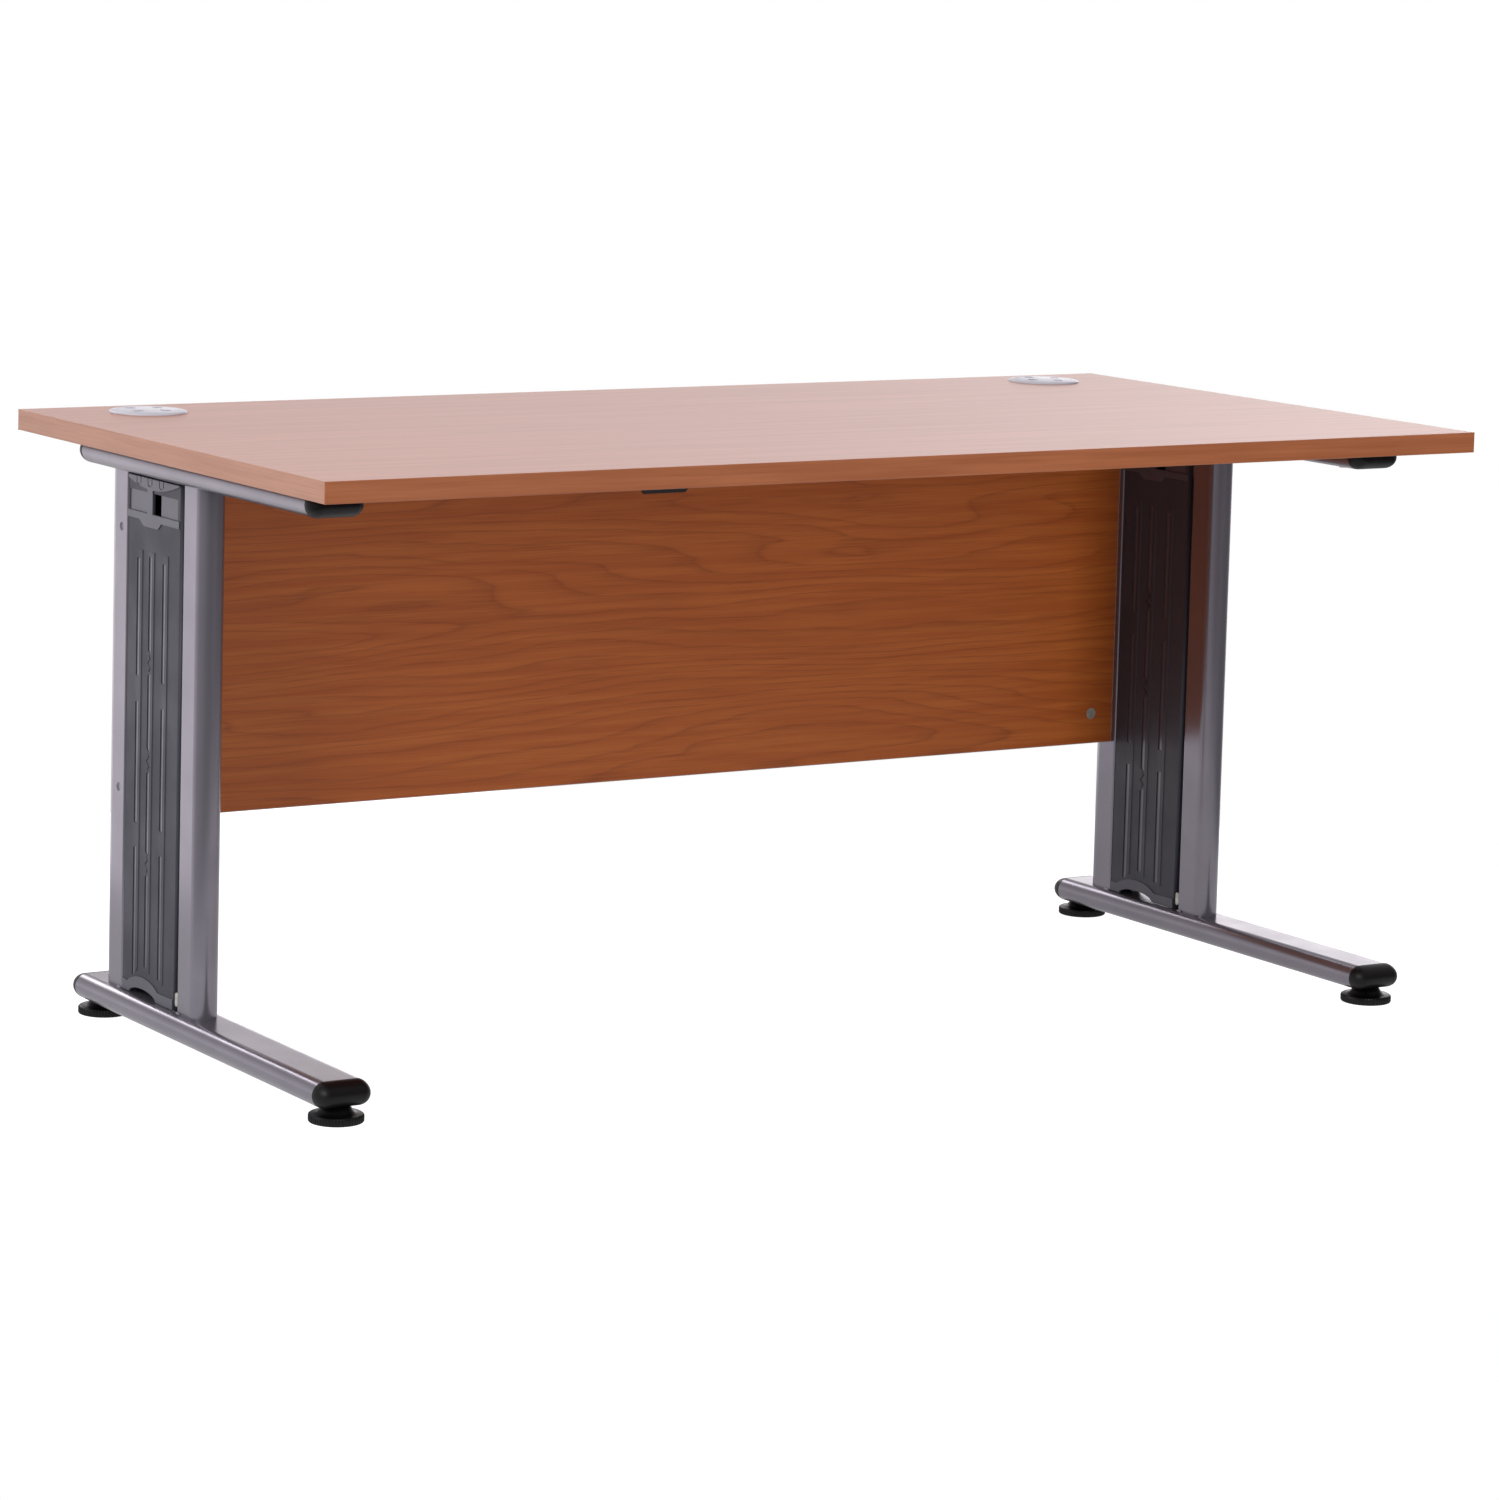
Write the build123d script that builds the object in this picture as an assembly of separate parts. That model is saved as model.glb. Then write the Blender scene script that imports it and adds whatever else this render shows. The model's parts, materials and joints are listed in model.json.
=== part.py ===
from build123d import *

import os
from math import sqrt

# Teacher desk on two cantilever legs, in millimetres.
# X runs along the desk from the user's left to right, Y runs from the user to the
# modesty panel, and Z is up. The origin is on the floor, under the desktop's centre.

# ---------------------------------------------------------------- desktop
desk_width = 1600.0
desk_depth = 800.0
desk_height = 725.0          # floor to working surface
board_thickness = 25.0
edging_thickness = 2.0
edging_round = 1.2

# ---------------------------------------------------------------- legs
leg_inset = 70.0             # end of the desktop to the middle plane of a leg
oval_width = 70.0            # feet and rails are one flat-oval tube
oval_height = 30.0
oval_wall = 2.0
foot_front_inset = 73.0      # edge of the desktop to the tube's cut end
rail_front_inset = 115.0
tube_rear_inset = 108.0
upright_width = 34.4
upright_depth = 50.0
upright_wall = 1.5
upright_corner = 2.5
upright_rear_inset = 150.0   # rear edge of the desktop to the back of the rear upright
leg_depth = 250.0            # front of the front upright to the back of the rear one

# ---------------------------------------------------------------- end caps
cap_length = 22.0
cap_sections = 7
cap_nose = 0.965             # how far along the dome the last section lies
foot_plug_length = 30.0
rail_plug_length = 20.0
plug_clearance = 0.2

# ---------------------------------------------------------------- levelling feet
pad_radius = 31.5
pad_rim_height = 9.5
pad_rim_round = 1.5
pad_shoulder_radius = 24.0
hub_radius = 18.0
hub_height = 8.7
hub_clearance = 0.3          # under the foot tube when fully screwed in
stud_radius = 4.0
stud_floor = 4.0             # plastic left under the stud
stud_top_gap = 1.7           # stud's end below the insert's end when fully screwed in
stud_clearance = 0.05
stud_hole_clearance = 1.0
insert_radius = 7.0
insert_length = 20.0
insert_clearance = 0.1
leveller_inset = 8.0         # cut end of the foot tube to the stud

# ---------------------------------------------------------------- cable covers
cover_front_gap = 7.0
cover_rear_gap = 0.5
cover_bottom_gap = 0.5
cover_top_gap = 3.0
cover_recess = 0.8           # cover's face behind the uprights' side faces
cover_plate = 2.4
cover_flange = 2.0
cover_return = 12.0          # how far the flanges turn into the leg
cover_edge_round = 1.6
cover_relief = 1.2           # height of raised bands and depth of flutes
cover_axis_inset = 60.0      # rear upright to the moulding's centre line
flute_width = 8.5
flute_steps = (-37.0, 0.0, 31.0)
flute_shift = -4.0           # flutes lie a little in front of their centre line
flute_bottom_rise = 21.0
flute_top_drop = 92.0
flute_bridge = 31.0          # plain length between two parts of an outer flute
arch_half_width = 35.0
arch_height = 9.5
arch_band = 11.0
skirt_height = 9.0
window_drop = 20.0           # top edge of the cover to the windows
window_height = 22.5
post_rear = 11.0             # the T's post, from the centre line
post_front = -5.0
slot_width = 17.5            # the open part of the front window
bar_height = 9.0
tab_height = 8.0
tab_top_half = 30.0
tab_bottom_half = 18.5
brow_edge_height = 9.0
brow_middle_height = 17.0
brow_half = 12.0
thumb_steps = (-32.0, 1.5, 34.0)
thumb_width = 8.0
thumb_height = 7.0
thumb_drop = 4.5
thumb_depth = 0.8
pin_height = 17.0            # steel tabs that the covers' front flanges bear on
pin_length = 26.0
pin_low_rise = 15.0
pin_high_drop = 40.0
pin_clearance = 0.3

# ---------------------------------------------------------------- modesty panel
panel_thickness = 18.0
panel_height = 418.5
panel_top_gap = 2.0          # under the rails
panel_face_inset = 8.0       # its front face behind the rear upright's front face
panel_edging = 1.0
panel_end_gap = 0.2
panel_edge_round = 0.4
nut_radius = 7.5             # barrel nuts: lower pair let in from the front, upper from the back
nut_length = 14.0
nut_setback = 35.0           # end of the panel to the barrel nut
nut_clearance = 0.1
nut_slot = 1.6
bolt_depth = 8.0             # bolt axis behind the panel's front face
bolt_radius = 3.0
bolt_head_radius = 5.0
bolt_head_height = 6.0
bolt_past_nut = 5.0
bolt_hole_clearance = 0.4
bolt_access_clearance = 0.4
bolt_low_rise = 40.0         # panel's bottom edge to the lower bolts
bolt_high_drop = 66.0        # panel's top edge to the upper bolts

# ---------------------------------------------------------------- fixings under the top
rail_screw_front_inset = 50.0
rail_screw_upright_gap = 60.0
rail_screw_rear_inset = 26.0
rail_screw_radius = 3.0
rail_screw_head_radius = 6.0
rail_screw_head_height = 3.5
rail_screw_grip = 11.0       # length of thread in the desktop
thread_clearance = 0.05
board_insert_radius = 5.0
board_insert_length = 13.0

# ---------------------------------------------------------------- centre bracket
bracket_width = 84.0
bracket_drop = 87.0
bracket_reach = 42.0
bracket_thickness = 2.5
bracket_chamfer = 12.0
bracket_screw_radius = 2.0
bracket_screw_head_radius = 4.0
bracket_screw_head_height = 2.4
bracket_screw_length = 15.0
bracket_hole_clearance = 0.3
bracket_screw_step = 27.0
bracket_low_screw_rise = 9.0
bracket_high_screw_rise = 46.0
bracket_top_screw_reach = 26.0

# ---------------------------------------------------------------- cable grommets
grommet_side_inset = 136.0
grommet_rear_inset = 78.0
grommet_bore_radius = 40.0
grommet_fit = 0.2
grommet_wall = 2.2
grommet_depth = 22.0
grommet_flange_radius = 47.5
grommet_flange_edge = 0.8
grommet_flange_height = 3.0
ledge_width = 3.6
ledge_thickness = 1.5
ledge_drop = 3.0
lid_clearance = 0.3
lid_plate = 2.6
lid_skirt = 2.5
lid_crown = 0.6
lid_port_size = 13.0
lid_port_round = 4.0
lid_port_step = 17.0         # ports' centres from the lid's centre, in X and in Y
lid_turn_left = -8.0         # degrees; each lid turns freely in its liner
lid_turn_right = -28.0

# ---------------------------------------------------------------- places that follow
half_width = desk_width / 2
half_depth = desk_depth / 2
underside = desk_height - board_thickness
leg_x = half_width - leg_inset
rail_bottom = underside - oval_height
rail_middle = underside - oval_height / 2
foot_bottom = pad_rim_height + hub_height + hub_clearance
foot_middle = foot_bottom + oval_height / 2
foot_top = foot_bottom + oval_height
foot_front = foot_front_inset - half_depth
rail_front = rail_front_inset - half_depth
tube_rear = half_depth - tube_rear_inset
rear_face = half_depth - upright_rear_inset
front_face = rear_face - leg_depth
bay_front = front_face + upright_depth
bay_rear = rear_face - upright_depth

cover_front = bay_front + cover_front_gap
cover_rear = bay_rear - cover_rear_gap
cover_bottom = foot_top + cover_bottom_gap
cover_top = rail_bottom - cover_top_gap
cover_face = upright_width / 2 - cover_recess
cover_axis = bay_rear - cover_axis_inset

panel_half = leg_x - upright_width / 2 - panel_end_gap
panel_face = bay_rear + panel_face_inset
panel_back = panel_face + panel_thickness
panel_top = rail_bottom - panel_top_gap
panel_bottom = panel_top - panel_height
bolt_y = panel_face + bolt_depth
bolt_heights = (panel_bottom + bolt_low_rise, panel_top - bolt_high_drop)
nut_x = panel_half - nut_setback

rail_screw_places = (
    rail_front + rail_screw_front_inset,
    front_face - rail_screw_upright_gap,
    tube_rear - rail_screw_rear_inset,
)
leveller_places = {
    "front": foot_front + leveller_inset,
    "rear": tube_rear - leveller_inset,
}
grommet_x = half_width - grommet_side_inset
grommet_y = half_depth - grommet_rear_inset

FLOOR_UP = (Align.CENTER, Align.CENTER, Align.MIN)


# ---------------------------------------------------------------- helpers
def rod_x(radius, start, end, y, z):
    """Round bar along X."""
    bar = Cylinder(radius, end - start, align=FLOOR_UP)
    return Pos(start, y, z) * Rot(0, 90, 0) * bar


def rod_y(radius, start, end, x, z):
    """Round bar along Y."""
    bar = Cylinder(radius, end - start, align=FLOOR_UP)
    return Pos(x, start, z) * Rot(-90, 0, 0) * bar


def rod_z(radius, start, end, x, y):
    """Round bar along Z."""
    return Pos(x, y, start) * Cylinder(radius, end - start, align=FLOOR_UP)


def block(x_range, y_range, z_range):
    """Rectangular block between three pairs of limits."""
    size = [high - low for low, high in (x_range, y_range, z_range)]
    middle = [(high + low) / 2 for low, high in (x_range, y_range, z_range)]
    return Pos(*middle) * Box(*size)


def oval_bar(width, height, start, end, x, z):
    """Flat-oval bar along Y."""
    bar = extrude(SlotOverall(width, height), amount=end - start)
    return Pos(x, start, z) * Rot(-90, 0, 0) * bar


def turned(points, centre=(0, 0)):
    """Solid of revolution about a vertical axis, from (radius, height) points."""
    outline = make_face(Plane.XZ * Polyline(*points, close=True))
    return Pos(centre[0], centre[1], 0) * revolve(outline, Axis.Z)


def group(solids):
    """Separate identical solids kept as one node."""
    return Compound(children=list(solids))


def both_sides(name, right_part):
    """Writes a part of the right leg and its mirror image on the left leg."""
    save(name + "_right", right_part)
    save(name + "_left", mirror(right_part, about=Plane.YZ))


def save(name, part):
    """Writes one node."""
    export_step(part, os.path.join("parts", name + ".step"))


# ---------------------------------------------------------------- desktop
def desktop_board():
    """Chipboard core with two cable bores and blind holes for inserts and screws."""
    core_x = half_width - edging_thickness
    core_y = half_depth - edging_thickness
    board = block((-core_x, core_x), (-core_y, core_y), (underside, desk_height))
    for side in (-1, 1):
        board -= rod_z(grommet_bore_radius, underside, desk_height, side * grommet_x, grommet_y)
        for y in rail_screw_places:
            hole_top = underside + board_insert_length + insert_clearance
            board -= rod_z(board_insert_radius + insert_clearance, underside, hole_top, side * leg_x, y)
    for x, y in bracket_top_screw_places():
        pilot_top = underside - bracket_thickness + bracket_screw_length
        board -= rod_z(bracket_screw_radius + thread_clearance, underside, pilot_top, x, y)
    return board


def edging_strip(x_range, y_range, outward):
    """Strip of plastic edging, rounded along its outer edges and outer corners."""
    strip = block(x_range, y_range, (underside, desk_height))
    axis = Axis.Y if outward[1] else Axis.X
    outer_face = strip.faces().sort_by(axis)[-1 if sum(outward) > 0 else 0]
    long_edges = outer_face.edges().filter_by(Axis.X if outward[1] else Axis.Y)
    corner_edges = outer_face.edges().filter_by(Axis.Z)
    rounded = long_edges + corner_edges if outward[1] else long_edges
    return fillet(rounded, edging_round)


# ---------------------------------------------------------------- modesty panel
def modesty_panel():
    """Panel core with holes for the barrel nuts, their bolts and the bracket's screws."""
    core_x = panel_half - panel_edging
    core_z = (panel_bottom + panel_edging, panel_top - panel_edging)
    panel = block((-core_x, core_x), (panel_face, panel_back), core_z)
    for side in (-1, 1):
        for z in bolt_heights:
            start, end = nut_reach(z)
            start = max(start - nut_clearance, panel_face)
            end = min(end + nut_clearance, panel_back)
            panel -= rod_y(nut_radius + nut_clearance, start, end, side * nut_x, z)
            panel -= panel_bolt_bore(side, z)
    for x, z in bracket_face_screw_places():
        pilot_end = panel_face - bracket_thickness + bracket_screw_length
        panel -= rod_y(bracket_screw_radius + thread_clearance, panel_face, pilot_end, x, z)
    return panel


def panel_bolt_bore(side, z):
    """Bore along X from a panel end past its barrel nut."""
    limits = sorted((side * (nut_x - bolt_past_nut - nut_clearance), side * (panel_half + 1)))
    return rod_x(bolt_radius + bolt_hole_clearance, limits[0], limits[1], bolt_y, z)


def panel_edging_strip(x_range, z_range):
    """Thin edging on one edge of the panel."""
    strip = block(x_range, (panel_face, panel_back), z_range)
    for side in (-1, 1):
        for z in bolt_heights:
            if x_range[0] < side * panel_half <= x_range[1] or x_range[0] <= side * panel_half < x_range[1]:
                strip -= panel_bolt_bore(side, z)
    return strip


def nut_reach(z):
    """Where a barrel nut starts and ends along Y; the upper ones open to the panel's back."""
    if z == bolt_heights[0]:
        return panel_face, panel_face + nut_length
    return panel_back - nut_length, panel_back


def panel_nut(side, z):
    """Barrel nut with a screwdriver slot in its open face and a cross bore for the bolt."""
    start, end = nut_reach(z)
    open_face = start if start == panel_face else end
    nut = rod_y(nut_radius, start, end, side * nut_x, z)
    nut -= rod_x(
        bolt_radius + thread_clearance,
        side * nut_x - 2 * nut_radius,
        side * nut_x + 2 * nut_radius,
        bolt_y,
        z,
    )
    for width, height in ((nut_radius, nut_slot), (nut_slot, nut_radius)):
        nut -= Pos(side * nut_x, open_face, z) * Box(width, nut_slot, height)
    return nut


def panel_bolt(side, z):
    """Socket-head bolt from inside the rear upright into a barrel nut."""
    seat = leg_x - upright_width / 2 + upright_wall
    tip = nut_x - bolt_past_nut
    shank = rod_x(bolt_radius, tip, seat, bolt_y, z)
    head = rod_x(bolt_head_radius, seat, seat + bolt_head_height, bolt_y, z)
    socket = rod_x(bolt_radius * 0.8, seat + bolt_head_height / 2, seat + bolt_head_height, bolt_y, z)
    bolt = shank + head - socket
    return bolt if side > 0 else mirror(bolt, about=Plane.YZ)


# ---------------------------------------------------------------- centre bracket
def bracket_face_screw_places():
    """Screws through the bracket into the panel's front face, as (x, z)."""
    bottom = underside - bracket_drop
    low = [(0, bottom + bracket_low_screw_rise)]
    high = [(side * bracket_screw_step, bottom + bracket_high_screw_rise) for side in (-1, 1)]
    return low + high


def bracket_top_screw_places():
    """Screws through the bracket into the desktop's underside, as (x, y)."""
    return [(side * bracket_screw_step, panel_face - bracket_top_screw_reach) for side in (-1, 1)]


def panel_bracket():
    """Folded steel angle that ties the panel's middle to the desktop."""
    half = bracket_width / 2
    leaf = block((-half, half), (panel_face - bracket_thickness, panel_face), (underside - bracket_drop, underside))
    low_corners = leaf.edges().filter_by(Axis.Y).group_by(Axis.Z)[0]
    leaf = chamfer(low_corners, bracket_chamfer)
    shelf = block(
        (-half, half),
        (panel_face - bracket_reach, panel_face),
        (underside - bracket_thickness, underside),
    )
    shelf_corners = shelf.edges().filter_by(Axis.Z).group_by(Axis.Y)[0]
    shelf = chamfer(shelf_corners, bracket_chamfer)
    bracket = leaf + shelf
    hole = bracket_screw_radius + bracket_hole_clearance
    for x, z in bracket_face_screw_places():
        bracket -= rod_y(hole, panel_face - 2 * bracket_thickness, panel_face, x, z)
    for x, y in bracket_top_screw_places():
        bracket -= rod_z(hole, underside - 2 * bracket_thickness, underside, x, y)
    return bracket


def bracket_screws():
    """Pan-head screws in the bracket."""
    screws = []
    for x, z in bracket_face_screw_places():
        seat = panel_face - bracket_thickness
        shank = rod_y(bracket_screw_radius, seat, seat + bracket_screw_length, x, z)
        head = rod_y(bracket_screw_head_radius, seat - bracket_screw_head_height, seat, x, z)
        screws.append(shank + head)
    for x, y in bracket_top_screw_places():
        seat = underside - bracket_thickness
        shank = rod_z(bracket_screw_radius, seat, seat + bracket_screw_length, x, y)
        head = rod_z(bracket_screw_head_radius, seat - bracket_screw_head_height, seat, x, y)
        screws.append(shank + head)
    return screws


# ---------------------------------------------------------------- leg frame
def oval_tube(front, middle):
    """Flat-oval tube along Y in the right leg, open at both ends."""
    inner_width = oval_width - 2 * oval_wall
    inner_height = oval_height - 2 * oval_wall
    outer = oval_bar(oval_width, oval_height, front, tube_rear, leg_x, middle)
    return outer - oval_bar(inner_width, inner_height, front, tube_rear, leg_x, middle)


def rail():
    """Top rail with clearance holes for the screws into the desktop."""
    tube = oval_tube(rail_front, rail_middle)
    for y in rail_screw_places:
        tube -= rod_z(rail_screw_radius + bolt_hole_clearance, rail_bottom, underside, leg_x, y)
    return tube


def foot():
    """Foot tube with a hole in its lower wall at each levelling stud."""
    tube = oval_tube(foot_front, foot_middle)
    for y in leveller_places.values():
        tube -= rod_z(stud_radius + stud_hole_clearance, foot_bottom, foot_middle, leg_x, y)
    return tube


def upright_outline(inset):
    """D-shaped outline with its round end towards -Y and its front at y = 0."""
    radius = upright_width / 2 - inset
    end = upright_depth - inset
    start = upright_width / 2
    outline = Pos(0, start) * Circle(radius)
    outline += Pos(0, (start + end) / 2) * Rectangle(2 * radius, end - start)
    square_corners = outline.vertices().group_by(Axis.Y)[-1]
    return fillet(square_corners, max(upright_corner - inset, 0.5))


def upright():
    """Open D-shaped tube between foot and rail, with its front at y = 0."""
    height = rail_bottom - foot_top
    outer = extrude(upright_outline(0), amount=height)
    inner = extrude(upright_outline(upright_wall), amount=height)
    return outer - inner


def front_upright():
    """Front upright of the right leg."""
    return Pos(leg_x, front_face, foot_top) * upright()


def rear_upright():
    """Rear upright of the right leg, with holes for the panel's bolts."""
    tube = Pos(leg_x, rear_face, foot_top) * Rot(0, 0, 180) * upright()
    for z in bolt_heights:
        tube -= rod_x(bolt_radius + bolt_hole_clearance, leg_x - upright_width, leg_x, bolt_y, z)
        tube -= rod_x(bolt_head_radius + bolt_access_clearance, leg_x, leg_x + upright_width, bolt_y, z)
    return tube


def rail_screw(side, y):
    """Pan-head machine screw through the rail into a desktop insert."""
    top = underside + rail_screw_grip
    shank = rod_z(rail_screw_radius, rail_bottom, top, side * leg_x, y)
    head = rod_z(rail_screw_head_radius, rail_bottom - rail_screw_head_height, rail_bottom, side * leg_x, y)
    return shank + head


def board_insert(side, y):
    """Threaded insert let into the desktop's underside."""
    top = underside + board_insert_length
    body = rod_z(board_insert_radius, underside, top, side * leg_x, y)
    return body - rod_z(rail_screw_radius + thread_clearance, underside, top, side * leg_x, y)


# ---------------------------------------------------------------- end caps
def end_cap(plug_length):
    """Domed cap on a flat-oval plug, with the tube's cut end at z = 0 and the dome above."""
    sections = []
    for index in range(cap_sections):
        along = cap_nose * sqrt(index / (cap_sections - 1))
        scale = sqrt(1 - along**2)
        sections.append(Pos(0, 0, along * cap_length) * SlotOverall(oval_width * scale, oval_height * scale))
    dome = loft(sections)
    inner_width = oval_width - 2 * oval_wall - 2 * plug_clearance
    inner_height = oval_height - 2 * oval_wall - 2 * plug_clearance
    plug = extrude(SlotOverall(inner_width, inner_height), amount=-plug_length)
    return dome + plug


def cap_in_tube(plug_length, tube_end, facing, middle):
    """End cap of the right leg at one end of a tube; facing is -1 to the front."""
    return Pos(leg_x, tube_end, middle) * Rot(-90 * facing, 0, 0) * end_cap(plug_length)


def foot_cap(tube_end, facing, stud_y):
    """Foot's end cap, bored from below for the levelling foot's insert."""
    cap = cap_in_tube(foot_plug_length, tube_end, facing, foot_middle)
    bore_top = insert_bottom() + insert_length + insert_clearance
    return cap - rod_z(insert_radius + insert_clearance, foot_bottom, bore_top, leg_x, stud_y)


# ---------------------------------------------------------------- levelling feet
def insert_bottom():
    """Lower end of the threaded inserts in the foot caps."""
    return foot_bottom + oval_wall + plug_clearance


def leveller_insert(side, y):
    """Threaded brass insert in a foot cap."""
    bottom = insert_bottom()
    body = rod_z(insert_radius, bottom, bottom + insert_length, side * leg_x, y)
    return body - rod_z(stud_radius + stud_clearance, bottom, bottom + insert_length, side * leg_x, y)


def leveller_pad(y):
    """Turned pad: a broad rim, a sloping shoulder and a hub with a socket for the stud."""
    socket = stud_radius + stud_clearance
    points = [
        (0, 0),
        (pad_radius - pad_rim_round, 0),
        (pad_radius, pad_rim_round),
        (pad_radius, pad_rim_height - pad_rim_round),
        (pad_radius - pad_rim_round, pad_rim_height),
        (pad_shoulder_radius, pad_rim_height),
        (hub_radius + hub_height / 3, pad_rim_height + hub_height / 3),
        (hub_radius, pad_rim_height + hub_height),
        (socket, pad_rim_height + hub_height),
        (socket, stud_floor),
        (0, stud_floor),
    ]
    return turned(points, (leg_x, y))


def leveller_stud(y):
    """Threaded stud of a levelling foot, shown at its outside diameter."""
    top = insert_bottom() + insert_length - stud_top_gap
    return rod_z(stud_radius, stud_floor, top, leg_x, y)


# ---------------------------------------------------------------- cable covers
def on_face(sketch, y, z):
    """A sketch drawn as seen along -X, placed on the cover's face."""
    return Plane.YZ.offset(cover_face) * Pos(y, z) * sketch


def raised(sketch, y=0, z=0):
    """A band that stands out of the cover's face and roots a little way into it."""
    return extrude(on_face(sketch, y, z), amount=cover_relief) + extrude(
        on_face(sketch, y, z), amount=-cover_plate / 2
    )


def sunk(sketch, y, z, depth):
    """A shallow pocket in the cover's face and anything raised on it."""
    pocket = extrude(on_face(sketch, y, z), amount=-depth)
    return pocket + extrude(on_face(sketch, y, z), amount=2 * cover_relief)


def cover_tray():
    """Plain face with a flange along each upright, rounded where they meet."""
    outer = block(
        (cover_face - cover_return, cover_face),
        (cover_front, cover_rear),
        (cover_bottom, cover_top),
    )
    outer = fillet(outer.faces().sort_by(Axis.X)[-1].edges().filter_by(Axis.Z), cover_edge_round)
    hollow = block(
        (cover_face - 2 * cover_return, cover_face - cover_plate),
        (cover_front + cover_flange, cover_rear - cover_flange),
        (cover_bottom, cover_top),
    )
    return outer - hollow


def cover_flutes():
    """Long shallow flutes; the outer two are broken into three parts."""
    bottom = cover_bottom + flute_bottom_rise
    top = cover_top - flute_top_drop
    cuts = []
    for step in flute_steps:
        parts = 1 if step == 0 else 3
        length = (top - bottom - (parts - 1) * flute_bridge) / parts
        for index in range(parts):
            middle = bottom + length / 2 + index * (length + flute_bridge)
            outline = Rot(0, 0, 90) * SlotOverall(length, flute_width)
            cuts.append(sunk(outline, cover_axis + step + flute_shift, middle, cover_relief))
    return cuts


def cover_foot_band():
    """Raised band over the cable arch, with a low skirt behind it."""
    arch_top = arch_height + arch_band
    outer = Ellipse(arch_half_width + arch_band, arch_top)
    upper_half = Pos(0, arch_top / 2) * Rectangle(4 * arch_half_width, arch_top)
    band = raised(outer & upper_half, cover_axis, cover_bottom)
    skirt_length = cover_rear - cover_edge_round - cover_axis
    skirt = Rectangle(skirt_length, skirt_height, align=(Align.MIN, Align.MIN))
    return [band, raised(skirt, cover_axis, cover_bottom)]


def cover_head():
    """Raised brow, post, bar and tab at the cover's top, around two sunk windows."""
    left = cover_front + cover_edge_round - cover_axis
    right = cover_rear - cover_edge_round - cover_axis
    edge = -brow_edge_height
    middle = -brow_middle_height
    brow = make_face(
        Polyline(
            (left, 0),
            (right, 0),
            (right, edge),
            (post_rear + brow_half, middle),
            (post_front - brow_half, middle),
            (left, edge),
            close=True,
        )
    )
    window_bottom = window_drop + window_height
    post = Pos((post_rear + post_front) / 2, -window_bottom / 2) * Rectangle(post_rear - post_front, window_bottom)
    bar = Pos((left + right) / 2, -window_bottom - bar_height / 2) * Rectangle(right - left, bar_height)
    tab_top = -window_bottom - bar_height
    tab = make_face(
        Polyline(
            (-tab_top_half, tab_top),
            (tab_top_half, tab_top),
            (tab_bottom_half, tab_top - tab_height),
            (-tab_bottom_half, tab_top - tab_height),
            close=True,
        )
    )
    return [raised(shape, cover_axis, cover_top) for shape in (brow, post, bar, tab)]


def cover_thumb_marks():
    """Three small U-shaped grip marks along the top edge."""
    marks = []
    for step in thumb_steps:
        outline = Pos(0, -thumb_height / 2) * Rectangle(thumb_width, thumb_height)
        outline = fillet(outline.vertices().group_by(Axis.Y)[0], thumb_width / 2 - 0.2)
        place = cover_top - thumb_drop
        marks.append(sunk(outline, cover_axis + step, place, thumb_depth - cover_relief))
    return marks


def cable_cover():
    """Snap-on cover facing +X, with the leg's middle plane at x = 0."""
    cover = cover_tray()
    for band in cover_foot_band() + cover_head():
        cover += band
    for pocket in cover_flutes():
        cover -= pocket
    arch = extrude(on_face(Ellipse(arch_half_width, arch_height), cover_axis, cover_bottom), amount=-2 * cover_return)
    slot_middle = cover_axis + post_front - slot_width / 2
    slot_height = cover_top - window_drop - window_height / 2
    slot = extrude(on_face(Rectangle(slot_width, window_height), slot_middle, slot_height), amount=-2 * cover_return)
    for opening in (arch, slot):
        cover -= opening + mirror(opening, about=Plane.YZ.offset(cover_face))
    return cover


def cover_pin(side, z):
    """Oval steel tab on the front upright that both covers' front flanges bear on."""
    reach = cover_front_gap - pin_clearance
    outline = Rot(0, 0, 90) * SlotOverall(pin_height, reach)
    start = side * leg_x - pin_length / 2
    place = Plane.YZ.offset(start) * Pos(bay_front + reach / 2, z)
    return extrude(place * outline, amount=pin_length)


# ---------------------------------------------------------------- cable grommets
def grommet_liner():
    """Flanged liner of the right cable bore, with a ledge that carries the lid."""
    outer = grommet_bore_radius - grommet_fit
    inner = outer - grommet_wall
    ledge = desk_height - ledge_drop
    points = [
        (inner, desk_height - grommet_depth),
        (outer, desk_height - grommet_depth),
        (outer, desk_height),
        (grommet_flange_radius, desk_height),
        (grommet_flange_radius, desk_height + grommet_flange_edge),
        (grommet_flange_radius - 2, desk_height + 0.7 * grommet_flange_height),
        (outer, desk_height + grommet_flange_height),
        (inner, desk_height + grommet_flange_height),
        (inner, ledge),
        (inner - ledge_width, ledge),
        (inner - ledge_width, ledge - ledge_thickness),
        (inner, ledge - ledge_thickness),
    ]
    return turned(points, (grommet_x, grommet_y))


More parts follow.
